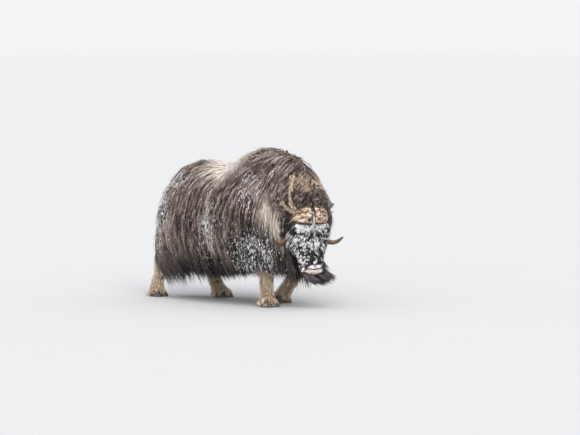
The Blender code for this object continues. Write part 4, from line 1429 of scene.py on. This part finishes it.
def face_coat(regions, growth, mouth, horns, material, rng):
    """Short fur of the face, jaws and ears, longer on the cheeks and under the boss."""

    def keep(points, _):
        along, _, _ = head_places(points)
        return off_horns(clear_of_openings(points, mouth) & (along > -0.06), points, horns, 0.002)

    roots, ways = scattered(*growth["head"], FACE_SPACING, rng, keep)
    head = along, over, aside = head_places(roots)
    steps, longest = (-0.05, 0.17, 0.35, 0.48, 0.53, 0.60), (0.055, 0.034, 0.028, 0.018, 0.008, 0.008)
    under = ramp(0.04, 0.12, -over) * (1 - ramp(0.42, 0.52, along))
    cheek = blob((along, over, np.abs(aside)), (0.30, -0.03, 0.165), (0.11, 0.09, 0.06), 0.5)
    brow = blob(head, (0.165, 0.12, 0.0), (0.035, 0.06, 0.05), 0.6)
    lengths = np.interp(along, steps, longest) * (1 + 0.9 * under) + 0.035 * cheek + 0.018 * brow
    lengths = lengths * rng.uniform(0.7, 1.2, len(roots))
    lengths = np.where(np.abs(aside) > 0.20, 0.012, lengths)
    clot = 1 - frosted(roots)
    rises = lengths * (0.08 + 0.38 * clot) * (1 - 0.8 * ramp(0.50, 0.53, along)) + 0.012 * cheek
    locks = grown(regions["head"], roots, ways, lengths, head_flow, rises, hangs=False, sink=0.002)
    tones = tones_round(0.45 + 0.9 * (lumps(roots, 60, 5) - 0.5), 0.22, len(roots), rng)
    capsule = (on_head(0.05, -0.03, 0.0), on_head(0.50, -0.02, 0.0))
    _, _, aside = head_places(locks.points[:, 0])
    for title, chosen in (("right", aside < 0), ("left", aside >= 0)):
        piece = coat_piece(
            f"face_fur_{title}", locks.chosen(chosen), tones[chosen], head_marks, capsule, material, rng,
            per_lock=5, spread=0.0050, half_width=0.0013, rings=3, clump=0.5, curl=0.0020,
        )


def leg_flow(place, _):
    """The lie of the legs' fur: down, and a little uneven."""
    return -UP + 0.25 * noise.noise(place * 20.0) * FORWARD


def leg_coat(regions, growth, material, rng):
    """Tan fur of the legs: longer behind them, and shaggy over the hooves."""
    for name, rows, _ in STANCE:
        roots, ways = scattered(*growth[name], LEG_SPACING, rng, lambda points, _: points[:, 2] < 0.42)
        up = roots[:, 2]
        behind = ramp(0.0, 0.8, -(ways @ FORWARD))
        lengths = np.interp(up, (0.035, 0.07, 0.14, 0.25, 0.4), (0.050, 0.070, 0.060, 0.060, 0.07))
        lengths = lengths * rng.uniform(0.7, 1.2, len(roots)) * (1 + 0.25 * behind)
        lengths = np.minimum(lengths, 1.1 * (up - 0.002))
        clot = lumps(roots, 45, 8)
        rises = 0.005 + lengths * (0.10 + 0.20 * clot + 0.06 * behind)
        rises = rises + 0.022 * (1 - ramp(0.05, 0.11, up))
        locks = grown(regions[name], roots, ways, lengths, leg_flow, rises, sink=0.002)
        tones = tones_round(0.66 + 1.3 * (clot - 0.5), 0.22, len(roots), rng)
        capsule = (at(*rows[4][:3]), at(rows[2][0], rows[2][1], rows[1][2]))
        piece = coat_piece(
            "leg_fur_" + name, locks, tones, leg_marks, capsule, material, rng,
            per_lock=4, spread=0.0065, half_width=0.0018, rings=3, clump=0.55, curl=0.003,
        )


# Hair of crown, temples and boss, matted wool, and the beard


def crown_flow(place, _):
    """Off the middle of the poll to both sides, and down towards the horns."""
    _, _, aside = head_places(np.array(place))
    swirl = 0.7 * noise.noise(place * 13.0)
    return (1.1 * np.clip(aside / 0.05, -1, 1) + swirl) * HEAD_LEFT + (0.5 - swirl) * ALONG


def crown_hair(regions, growth, horns, material, rng):
    """The dark cushion of hair behind the horns."""

    def keep(points, ways):
        along, over, aside = head_places(points)
        good = (along < 0.04) & (over > -0.06) & (ways @ OVER > -0.2) & (np.abs(aside) < 0.185)
        return off_horns(good, points, horns, 0.004) & (rng.random(len(points)) < 0.85)

    roots, ways = scattered(*growth["head"], CROWN_SPACING, rng, keep)
    lengths = rng.uniform(0.07, 0.13, len(roots))
    rises = rng.uniform(0.025, 0.055, len(roots))
    bosses = [(boss, 0.02) for boss in horns.bosses]
    locks = grown(regions["head"], roots, ways, lengths, crown_flow, rises, horns=bosses, hangs=False)
    locks = locks.split(3, rng, 0.009)
    piece = coat_piece(
        "crown_hair", locks, tones_round(0.50, 0.42, len(locks), rng), head_marks,
        (on_head(-0.06, -0.03, 0.0), on_head(0.04, -0.03, 0.0)), material, rng,
        per_lock=3, spread=0.005, half_width=0.0018, rings=4, clump=0.4, curl=0.008, stray=0.02,
    )


def temple_hair(horns, material, rng):
    """Long dark hair that lies over each horn between its boss and its bare tip."""
    guides, outs = [], []
    for rings in horns.rings:
        middles = rings.mean(axis=1)
        for _ in range(TEMPLE_LOCKS):
            start = rng.uniform(0.27, 0.45)
            shares = np.linspace(start, start + rng.uniform(0.13, 0.24), GUIDE_STEPS + 1)
            rows = np.round(shares * (HORN_RINGS - 1)).astype(int)
            surface = rings[rows, rng.integers(0, HORN_SIDES)]
            away = unit(surface - middles[rows])
            rise = rng.uniform(0.006, 0.022) * np.sin(np.linspace(0, 1.5, GUIDE_STEPS + 1)) - 0.002
            guides.append(surface + away * rise[:, None])
            outs.append(away)
    points = np.array(guides)
    locks = Locks(points, np.array(outs), path_lengths(points))
    piece = coat_piece(
        "temple_hair", locks, tones_round(0.50, 0.30, len(locks), rng), beard_marks,
        (on_head(0.0, -0.03, 0.0), on_head(0.12, -0.03, 0.0)), material, rng,
        per_lock=4, spread=0.009, half_width=0.0018, rings=4, clump=0.4, curl=0.004, stray=0.01,
    )


def white_marks(points):
    """Frost all over, thinner in places."""
    return four_marks(points, dark=1.0, frost=0.5 + 4 * (lumps(points, 60, 21) - 0.45))


def gap_hair(regions, material, rng):
    """Frosted tufts that stand in the gap between the two halves of the boss, and hang out below it."""
    along = rng.uniform(0.0, 0.175, GAP_LOCKS)
    aside = rng.uniform(-0.005, 0.005, GAP_LOCKS) * (1 + 1.5 * ramp(0.13, 0.17, along))
    guess = on_head(along, 0.12, aside)
    found = [regions["head"].find_nearest(Vector(place))[:2] for place in guess]
    roots, ways = (np.array([tuple(pair[i]) for pair in found]) for i in (0, 1))
    lengths = rng.uniform(0.030, 0.050, GAP_LOCKS) + 0.015 * ramp(0.13, 0.17, along)
    rises = rng.uniform(0.030, 0.052, GAP_LOCKS) * (0.6 + 0.4 * ramp(0.3, 0.6, lumps(roots, 45, 20)))
    rises = rises * (1 - 0.5 * ramp(0.14, 0.175, along))

    def flow(place, _):
        return 0.8 * ALONG + 0.3 * noise.noise(place * 40.0) * HEAD_LEFT

    locks = grown(regions["head"], roots, ways, lengths, flow, rises, hangs=False)
    piece = coat_piece(
        "gap_hair", locks, rng.random(len(locks)), white_marks,
        (on_head(0.0, 0.1, 0.0), on_head(0.17, 0.1, 0.0)), material, rng,
        per_lock=8, spread=0.0045, half_width=0.0015, rings=3, clump=0.4, curl=0.003, stray=0.01,
    )


# Matted straw-coloured wool on the right of the crown: forward, left and up of each band's course
MATTED_BANDS = [
    [
        (0.880, -0.155, 1.178),
        (0.935, -0.235, 1.068),
        (0.965, -0.280, 0.988),
        (1.000, -0.297, 0.918),
        (1.045, -0.290, 0.872),
    ],
    [(0.915, -0.335, 0.948), (0.960, -0.335, 0.903), (1.005, -0.320, 0.871), (1.050, -0.290, 0.856)],
]
MATTED_OUTWARD = unit(np.array((-0.70, -0.68, 0.25)))
MATTED_SINK = 0.020  # how far inwards of their course the bands lie
MATTED_STEPS = 60


def straw_marks(points):
    """Straw colour with white frost here and there."""
    return four_marks(points, pale=0.35, frost=0.25, tan=1.0)


def matted_wool(material, rng):
    """Twisted pale bands of shed wool that lie on the crown's hair."""
    guides = []
    for band in MATTED_BANDS:
        course = smooth_rows([tuple(at(*place)) for place in band], MATTED_STEPS)
        for _ in range(BAND_LOCKS):
            start = rng.integers(0, MATTED_STEPS - GUIDE_STEPS)
            path = course[start : start + GUIDE_STEPS + 1] + rng.normal(0, 0.008, 3)
            guides.append(path + rng.normal(0, 0.0055, path.shape))
    points = np.array(guides)
    outs = np.broadcast_to(MATTED_OUTWARD, points.shape).copy()
    points -= MATTED_SINK * outs
    locks = Locks(points, outs, path_lengths(points))
    piece = coat_piece(
        "matted_wool", locks, rng.uniform(0.0, 1.0, len(locks)), straw_marks,
        (at(0.85, -0.12, 1.17), at(1.0, -0.26, 0.86)), material, rng,
        per_lock=4, spread=0.004, half_width=0.0016, rings=4, clump=0.2, curl=0.006, stray=0.01,
    )


def chin_flow(place, _):
    """The beard's lie: down under the throat, and blown to the left and forward at the chin."""
    along, _, _ = head_places(np.array(place))
    down = 0.62 + 0.9 * (1 - ramp(0.42, 0.54, along))
    return -down * UP + (0.86 + 0.16 * noise.noise(place * 9.0)) * WIND


def beard(regions, growth, material, rng):
    """Long dark hair under jaw and chin."""

    def keep(points, ways):
        along, over, aside = head_places(points)
        under = (along > 0.40) & (over < -0.022) & (ways @ OVER < -0.30)
        return under | ((along > chin_end(aside) + 0.001) & (over < 0.03) & (ways @ ALONG > 0.2))

    roots, ways = scattered(*growth["head"], BEARD_SPACING, rng, keep)
    along, _, _ = head_places(roots)
    lengths = rng.uniform(0.13, 0.22, len(roots)) * np.interp(along, (0.40, 0.5, 0.60), (0.8, 1.0, 0.8))
    rises = np.full(len(roots), 0.012)
    jaw = [(regions["head"], 0.004)]
    locks = grown(regions["head"], roots, ways, lengths, chin_flow, rises, obstacles=jaw)
    piece = coat_piece(
        "beard", locks, tones_round(0.72, 0.30, len(locks), rng), beard_marks,
        (on_head(0.30, -0.1, 0.0), on_head(0.50, -0.08, 0.0)), material, rng,
        per_lock=9, spread=0.012, half_width=0.0018, rings=4, clump=0.6, curl=0.006, stray=0.02,
    )


# Horns: along, over, left, half width across, half thickness
HORN_ROWS = [
    (0.085, 0.126, 0.011, 0.083, 0.032),
    (0.086, 0.128, 0.055, 0.083, 0.038),
    (0.090, 0.112, 0.101, 0.073, 0.040),
    (0.108, 0.058, 0.143, 0.055, 0.037),
    (0.158, -0.020, 0.171, 0.041, 0.033),
    (0.222, -0.066, 0.184, 0.034, 0.029),
    (0.272, -0.078, 0.203, 0.028, 0.025),
    (0.298, -0.062, 0.252, 0.022, 0.020),
    (0.292, -0.036, 0.299, 0.0175, 0.016),
    (0.263, -0.006, 0.338, 0.007, 0.007),
]
HORN_RINGS, HORN_SIDES = 150, 64
BOSS_SHARE, TIP_SHARE = 0.42, 0.62  # shares of the horn where its rough boss ends and its bare tip begins


def horn_shape(side):
    """One horn with the boss's fibres and cracks raised on it, and its pattern for the material."""
    rows = smooth_rows(HORN_ROWS, HORN_RINGS)
    path = on_head(rows[:, 0], rows[:, 1], side * rows[:, 2])
    across, through = sweep_frames(path, ALONG)
    rings = ovals(path, across, through, rows[:, 3], rows[:, 4], rows[:, 4], HORN_SIDES)
    share = np.linspace(0, 1, HORN_RINGS)[:, None]
    rough = 1 - ramp(0.25, BOSS_SHARE + 0.08, share)
    outward = unit(rings - path[:, None])
    angle = np.linspace(0, 2 * math.pi, HORN_SIDES, endpoint=False)[None]
    round_it = np.stack(np.broadcast_arrays(np.cos(angle), np.sin(angle), share * 1.6 + side), axis=-1)
    fibre = lumps(round_it * (1, 1, 0.5), 8.0, 11) + 0.5 * lumps(round_it * (1, 1, 0.6), 19.0, 12) - 0.75
    split = np.abs(lumps(round_it * (0.25, 0.25, 2.0), 7.0, 13) - 0.5)
    crack = 1 - ramp(0.020, 0.050, split)
    growth_rings = 0.0006 * np.sin(share * 190) * (1 - rough) * (1 - share)
    depth = rough * (0.011 * fibre - 0.009 * crack * (1 - ramp(0.15, 0.34, share))) + growth_rings
    pattern = np.ones((HORN_RINGS, HORN_SIDES, 4), np.float32)
    pattern[..., 0] = 0.5 + 0.5 * np.cos(angle)
    pattern[..., 1] = 0.5 + 0.5 * np.sin(angle)
    pattern[..., 2] = share
    pattern[..., 3] = crack * rough
    return rings + outward * depth[..., None], pattern


def horn_material():
    """A cracked, fibrous boss in tan and brown, and smoother brown tips with a warm middle, with painted
    shade along each horn's sides and in the gap between the bosses.
    """
    nodes = Nodes("horn")
    u, v, share, crack = nodes.attribute("horn")
    joined = nodes.add("ShaderNodeCombineXYZ")
    for source, socket in zip((u, v, share), joined.inputs):
        nodes.join(source, socket)
    where = joined.outputs[0]
    fibres = nodes.noise(nodes.stretched(where, (5, 5, 48)), 1.0, 5.0, 0.70)
    blotches = nodes.noise(nodes.stretched(where, (7, 7, 17)), 1.0)
    fine = nodes.noise(nodes.stretched(where, (40, 40, 60)), 1.0, 3.0, 0.6)
    lumpy = nodes.plus(nodes.times(fibres, 0.35), nodes.times(blotches, 0.65))
    edge = nodes.math("ABSOLUTE", nodes.minus(v, 0.5))
    boss = nodes.steps(
        lumpy,
        (0.39, (0.024, 0.015, 0.011)),
        (0.45, (0.190, 0.118, 0.074)),
        (0.52, (0.470, 0.335, 0.230)),
        (0.64, (0.840, 0.720, 0.600)),
    )
    tip = nodes.steps(
        share,
        (0.40, (0.060, 0.036, 0.024)),
        (0.60, (0.020, 0.012, 0.009)),
        (0.70, (0.150, 0.066, 0.032)),
        (0.82, (0.380, 0.185, 0.080)),
        (0.94, (0.100, 0.044, 0.024)),
        (1.00, (0.050, 0.026, 0.018)),
    )
    stained = nodes.times(nodes.between(0.50, 0.60, fine), 0.6)
    # Painted shade: the boss darkened along both sides of the horn, where it turns away from the light.
    shaded_rim = nodes.times(nodes.between(0.36, 0.46, edge), 0.9)
    # Painted shade: the boss is darkest at its inner end, deep in the gap between the two bosses.
    gap_shade = nodes.minus(1.0, nodes.between(0.016, 0.040, share))
    boss = nodes.mix(stained, boss, rgba(0.085, 0.050, 0.034))
    boss = nodes.mix(shaded_rim, boss, rgba(0.040, 0.024, 0.016))
    boss = nodes.mix(crack, boss, rgba(0.012, 0.008, 0.007))
    boss = nodes.mix(gap_shade, boss, rgba(0.012, 0.008, 0.007))
    # Painted shade along both sides of the tip as well.
    tip = nodes.mix(nodes.times(nodes.between(0.22, 0.42, edge), 0.85), tip, rgba(0.035, 0.018, 0.012))
    tip = nodes.mix(nodes.times(fine, 0.30), tip, rgba(0.20, 0.11, 0.06))
    smooth = nodes.between(0.34, 0.50, share)
    roughness = nodes.minus(0.72, nodes.times(smooth, 0.40))
    normal = nodes.bump(nodes.plus(fibres, nodes.times(fine, 0.6)), 0.0022)
    return nodes.finish(Base_Color=nodes.mix(smooth, boss, tip), Roughness=roughness, Normal=normal)


class Horns:
    """Both horns as closed surfaces: whole, and parted into boss, hidden shaft and bare tip."""

    def __init__(self):
        self.rings, self.whole, self.bosses, self.shafts, self.tips = [], [], [], [], []

    def add(self, horn, rings):
        """Takes in one horn, made of rings from its root to its tip."""
        self.rings.append(rings)
        self.whole.append(surface_of(horn))
        last = len(rings) - 1
        cuts = [0, round(BOSS_SHARE * last), round(TIP_SHARE * last), last]
        for surfaces, start, end in zip((self.bosses, self.shafts, self.tips), cuts, cuts[1:]):
            part = loft("part", rings[start : end + 1])
            surfaces.append(surface_of(part))
            drop(part)


def make_horns():
    """Both horns, finer than the solids'."""
    made = Horns()
    material = horn_material()
    for title, side in (("left", 1), ("right", -1)):
        rings, pattern = horn_shape(side)
        horn = loft("horn_" + title + "_fine", rings)
        store(horn.data, "horn", pattern)
        horn.data.materials.append(material)
        horn.data.shade_smooth()
        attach(horn, "root")
        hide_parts("horn_" + title)
        made.add(horn, rings)
    return made


# Eyes


def eye_material():
    """A dark brown iris with a level slot of a pupil, under a wet surface."""
    nodes = Nodes("eye")
    parts = nodes.add("ShaderNodeSeparateXYZ")
    nodes.join(nodes.place(), parts.inputs[0])
    x, y = parts.outputs["X"], parts.outputs["Y"]
    pupil = nodes.from_middle(x, nodes.times(y, 2.4))
    grain = nodes.noise(nodes.place(), 500.0)
    iris = nodes.mix(grain, rgba(0.012, 0.006, 0.004), rgba(0.034, 0.017, 0.009))
    rim = nodes.between(0.0150, 0.0165, nodes.from_middle(x, y))
    colour = nodes.mix(rim, iris, rgba(0.05, 0.035, 0.028))
    colour = nodes.mix(nodes.between(0.0072, 0.0080, pupil), rgba(0.002, 0.002, 0.003), colour)
    return nodes.finish(Base_Color=colour, Roughness=0.08, Coat_Weight=1.0, Coat_Roughness=0.02)


def eyes():
    """Both eyes as balls, each with a slight bulge in front."""
    material = eye_material()
    for title, side in (("left", 1), ("right", -1)):
        out = eye_outward(side)
        level = unit(ALONG - out * (ALONG @ out))
        turn = Matrix((tuple(level), tuple(np.cross(out, level)), tuple(out))).transposed().to_4x4()
        turn.translation = Vector(on_side(EYE_PLACE, side))
        axes = np.eye(3) * EYE_RADIUS
        eye = ball("eye_" + title + "_wet", (0, 0, 0), axes, segments=64, rings=40)
        for vertex in eye.data.vertices:
            vertex.co *= 1 + 0.05 * ramp(0.55, 1.0, vertex.co.z / EYE_RADIUS)
        eye.matrix_world = turn
        eye.data.materials.append(material)
        eye.data.shade_smooth()
        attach(eye, "root")
        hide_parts("eye_" + title)


# Hooves: one claw's up, ahead, half width and half length
CLAW_ROWS = [
    (0.066, 0.000, 0.030, 0.048),
    (0.040, 0.010, 0.036, 0.066),
    (0.015, 0.017, 0.039, 0.077),
    (-0.012, 0.020, 0.040, 0.080),
]
CLAW_APART = 0.037
COLLAR_ROWS = [(0.030 + 0.0096 * k, 0.052, 0.050, 0.054) for k in range(6)]


def cut_off(made, point, normal):
    """Cuts a closed mesh by a plane, caps it, and drops what lies ahead of the plane."""
    work = bmesh.new()
    work.from_mesh(made.data)
    everything = work.verts[:] + work.edges[:] + work.faces[:]
    bmesh.ops.bisect_plane(work, geom=everything, plane_co=point, plane_no=normal, clear_outer=True)
    bmesh.ops.holes_fill(work, edges=[e for e in work.edges if e.is_boundary])
    bmesh.ops.recalc_face_normals(work, faces=work.faces)
    work.to_mesh(made.data)
    work.free()


def hoof_material():
    """Dark worn horn with level bands."""
    nodes = Nodes("hoof")
    where = nodes.place()
    bands = nodes.noise(nodes.stretched(where, (1, 1, 7)), 32.0, 3.0, 0.55)
    grit = nodes.noise(where, 260.0, 3.0, 0.6)
    colour = nodes.steps(
        bands,
        (0.25, (0.014, 0.011, 0.010)),
        (0.55, (0.045, 0.034, 0.027)),
        (0.85, (0.12, 0.09, 0.068)),
    )
    colour = nodes.mix(nodes.times(grit, 0.3), colour, rgba(0.20, 0.155, 0.11))
    normal = nodes.bump(nodes.plus(bands, nodes.times(grit, 0.25)), 0.002)
    return nodes.finish(Base_Color=colour, Roughness=0.48, Normal=normal)


def hoof_shape(name, forward, left):
    """Two claws side by side under a round collar, level on the floor."""
    claws = []
    for side in (1, -1):
        up, ahead, wide, long = smooth_rows(CLAW_ROWS, 40).T
        ridge = 1 + 0.010 * np.sin(up * 620)
        centres = at(forward + ahead, left + side * CLAW_APART, up)
        rings = ovals(centres, LEFT, FORWARD, wide * ridge, long * ridge, long * 0.8, 48, 2.3, 2.3)
        claws.append(loft("claw", rings))
    up, wide, ahead, behind = np.array(COLLAR_ROWS).T
    collar = ovals(at(forward, left, up), LEFT, FORWARD, wide, ahead, behind, 48)
    return combined(loft("hoof_" + name + "_fine", collar), claws, "UNION")


def hooves():
    """All four hooves, the left forehoof with its heel lifted."""
    material = hoof_material()
    for name, rows, heel_lift in STANCE:
        forward, left = rows[-1][:2]
        hoof = hoof_shape(name, forward, left)
        toe = Vector(at(forward + 0.075, left, 0.0))
        turn = Matrix.Rotation(heel_lift, 4, Vector(LEFT))
        hoof.data.transform(Matrix.Translation(toe) @ turn @ Matrix.Translation(-toe))
        lean = math.radians(12) + heel_lift
        top = at(forward, left, HOOF_TOP + 0.009 * heel_lift)
        cut_off(hoof, top, UP * math.cos(lean) - FORWARD * math.sin(lean))
        cut_off(hoof, (0, 0, 0), -UP)
        hoof.data.materials.clear()
        hoof.data.materials.append(material)
        hoof.data.shade_smooth()
        hoof.data.set_sharp_from_angle(angle=math.radians(50))
        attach(hoof, "root")
        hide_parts("hoof_" + name)


# Studio


PHOTO_AZIMUTH, PHOTO_ELEVATION = math.radians(-43), math.radians(3.6)
PHOTO_SCALE = 112.0  # pixels of the photograph to a metre at the animal
PHOTO_WIDTH, PHOTO_HEIGHT = 580, 435
ORIGIN_PIXEL = (238.9, 301.0)  # where the photograph has the body's own origin
CAMERA_DISTANCE = 30.0


def camera():
    """The camera, where the photograph's was."""
    data = bpy.data.cameras.new("camera")
    made = put("camera", data)
    a, e = PHOTO_AZIMUTH, PHOTO_ELEVATION
    back = Vector((math.sin(a) * math.cos(e), -math.cos(a) * math.cos(e), math.sin(e)))
    right = Vector((math.cos(a), math.sin(a), 0))
    up = back.cross(right)
    aim = Vector(ORIGIN) + right * (PHOTO_WIDTH / 2 - ORIGIN_PIXEL[0]) / PHOTO_SCALE
    aim += up * (ORIGIN_PIXEL[1] - PHOTO_HEIGHT / 2) / PHOTO_SCALE
    made.location = aim + back * CAMERA_DISTANCE
    made.rotation_mode = "QUATERNION"
    made.rotation_quaternion = (-back).to_track_quat("-Z", "Y")
    data.sensor_width = 36
    data.lens = data.sensor_width * CAMERA_DISTANCE * PHOTO_SCALE / PHOTO_WIDTH
    data.clip_end = 300
    bpy.context.scene.camera = made


def sky():
    """A pale world, a little lighter at the horizon, where the floor runs out into it."""
    world = bpy.data.worlds.new("studio")
    world.use_nodes = True
    tree = world.node_tree
    background = tree.nodes["Background"]
    where = tree.nodes.new("ShaderNodeTexCoord")
    parts = tree.nodes.new("ShaderNodeSeparateXYZ")
    ramp_node = tree.nodes.new("ShaderNodeValToRGB")
    tree.links.new(where.outputs["Generated"], parts.inputs[0])
    tree.links.new(parts.outputs["Z"], ramp_node.inputs[0])
    tree.links.new(ramp_node.outputs["Color"], background.inputs["Color"])
    low, high = ramp_node.color_ramp.elements
    low.position, high.position = 0.02, 0.40
    low.color, high.color = (0.905, 0.905, 0.918, 1), (0.87, 0.88, 0.91, 1)
    background.inputs["Strength"].default_value = 1.0
    bpy.context.scene.world = world


def sun(name, energy, spread, way, colour):
    """A distant soft light: its strength, its width in degrees and the way it shines."""
    data = bpy.data.lights.new(name, "SUN")
    data.energy = energy
    data.angle = math.radians(spread)
    data.color = colour
    made = put(name, data)
    made.rotation_mode = "QUATERNION"
    made.rotation_quaternion = Vector(way).to_track_quat("-Z", "Y")


def studio():
    """Sky, two soft lights and a pale round floor."""
    sky()
    bpy.context.scene.view_settings.view_transform = "Standard"
    sun("key", energy=1.74, spread=42, way=(0.42, 0.68, -0.62), colour=(1.0, 0.985, 0.96))
    sun("fill", energy=1.40, spread=70, way=(0.66, 0.70, -0.22), colour=(1.0, 0.99, 0.98))
    work = bmesh.new()
    bmesh.ops.create_circle(work, cap_ends=True, segments=96, radius=150)
    mesh = bpy.data.meshes.new("floor")
    work.to_mesh(mesh)
    work.free()
    floor = put("floor", mesh)
    nodes = Nodes("floor")
    tint = nodes.mix(nodes.noise(nodes.place(), 1.5), rgba(0.645, 0.645, 0.652), rgba(0.655, 0.655, 0.662))
    mesh.materials.append(nodes.finish(Base_Color=tint, Roughness=0.9, Specular_IOR_Level=0.2))


def dressed_skin(skin, mouth):
    """The skin's markings and bare places as attributes, and its material."""
    mesh = skin.data
    points = point_rows(mesh)
    forward, _, up = body_places(points)
    along, over, aside = head_places(points)
    on_head_skin = (along > 0.03) & (np.abs(aside) < 0.24) & (over > -0.2) & (forward > 0.75)
    on_leg = (up < 0.36) & (forward < 0.75)
    marks = body_marks(points)
    marks[:, 0] *= 0.3
    marks[:, 2] = 0
    face = head_marks(points)
    face[:, 2] = 0.85 * ramp(-0.12, 0.10, face[:, 2] - frosted(points))
    marks[on_head_skin] = face[on_head_skin]
    marks[on_leg] = leg_marks(points)[on_leg]
    lids = 1 - ramp(EYE_RADIUS + 0.003, EYE_RADIUS + 0.010, eye_distance(points))
    nose = 1 - ramp(0.018, 0.026, nostril_distance(points))
    lips = 1 - ramp(0.0085, 0.0110, to_nearest(points, mouth))
    bare = np.maximum.reduce([lids, nose, lips])
    store(mesh, "marks", marks)
    store(mesh, "bare", np.stack((bare, 0 * bare, 0 * bare, 0 * bare + 1), axis=-1))
    mesh.materials.clear()
    mesh.materials.append(skin_material())
    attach(skin, "root")
    flesh_nodes = ["torso", "neck", "head", "tail", "ear_left", "ear_right"]
    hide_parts(*flesh_nodes, *("leg_" + name for name, _, _ in STANCE))


def main():
    """The whole scene."""
    camera()
    studio()
    skin, regions, growth, mouth = flesh()
    horns = make_horns()
    eyes()
    hooves()
    dressed_skin(skin, mouth)
    rng = np.random.default_rng(COAT_SEED)
    coat = coat_material()
    body_coat(regions, growth, horns, coat, rng)
    face_coat(regions, growth, mouth, horns, coat, rng)
    crown_hair(regions, growth, horns, coat, rng)
    temple_hair(horns, coat, rng)
    gap_hair(regions, coat, rng)
    matted_wool(coat, rng)
    leg_coat(regions, growth, coat, rng)
    beard(regions, growth, coat, rng)


main()
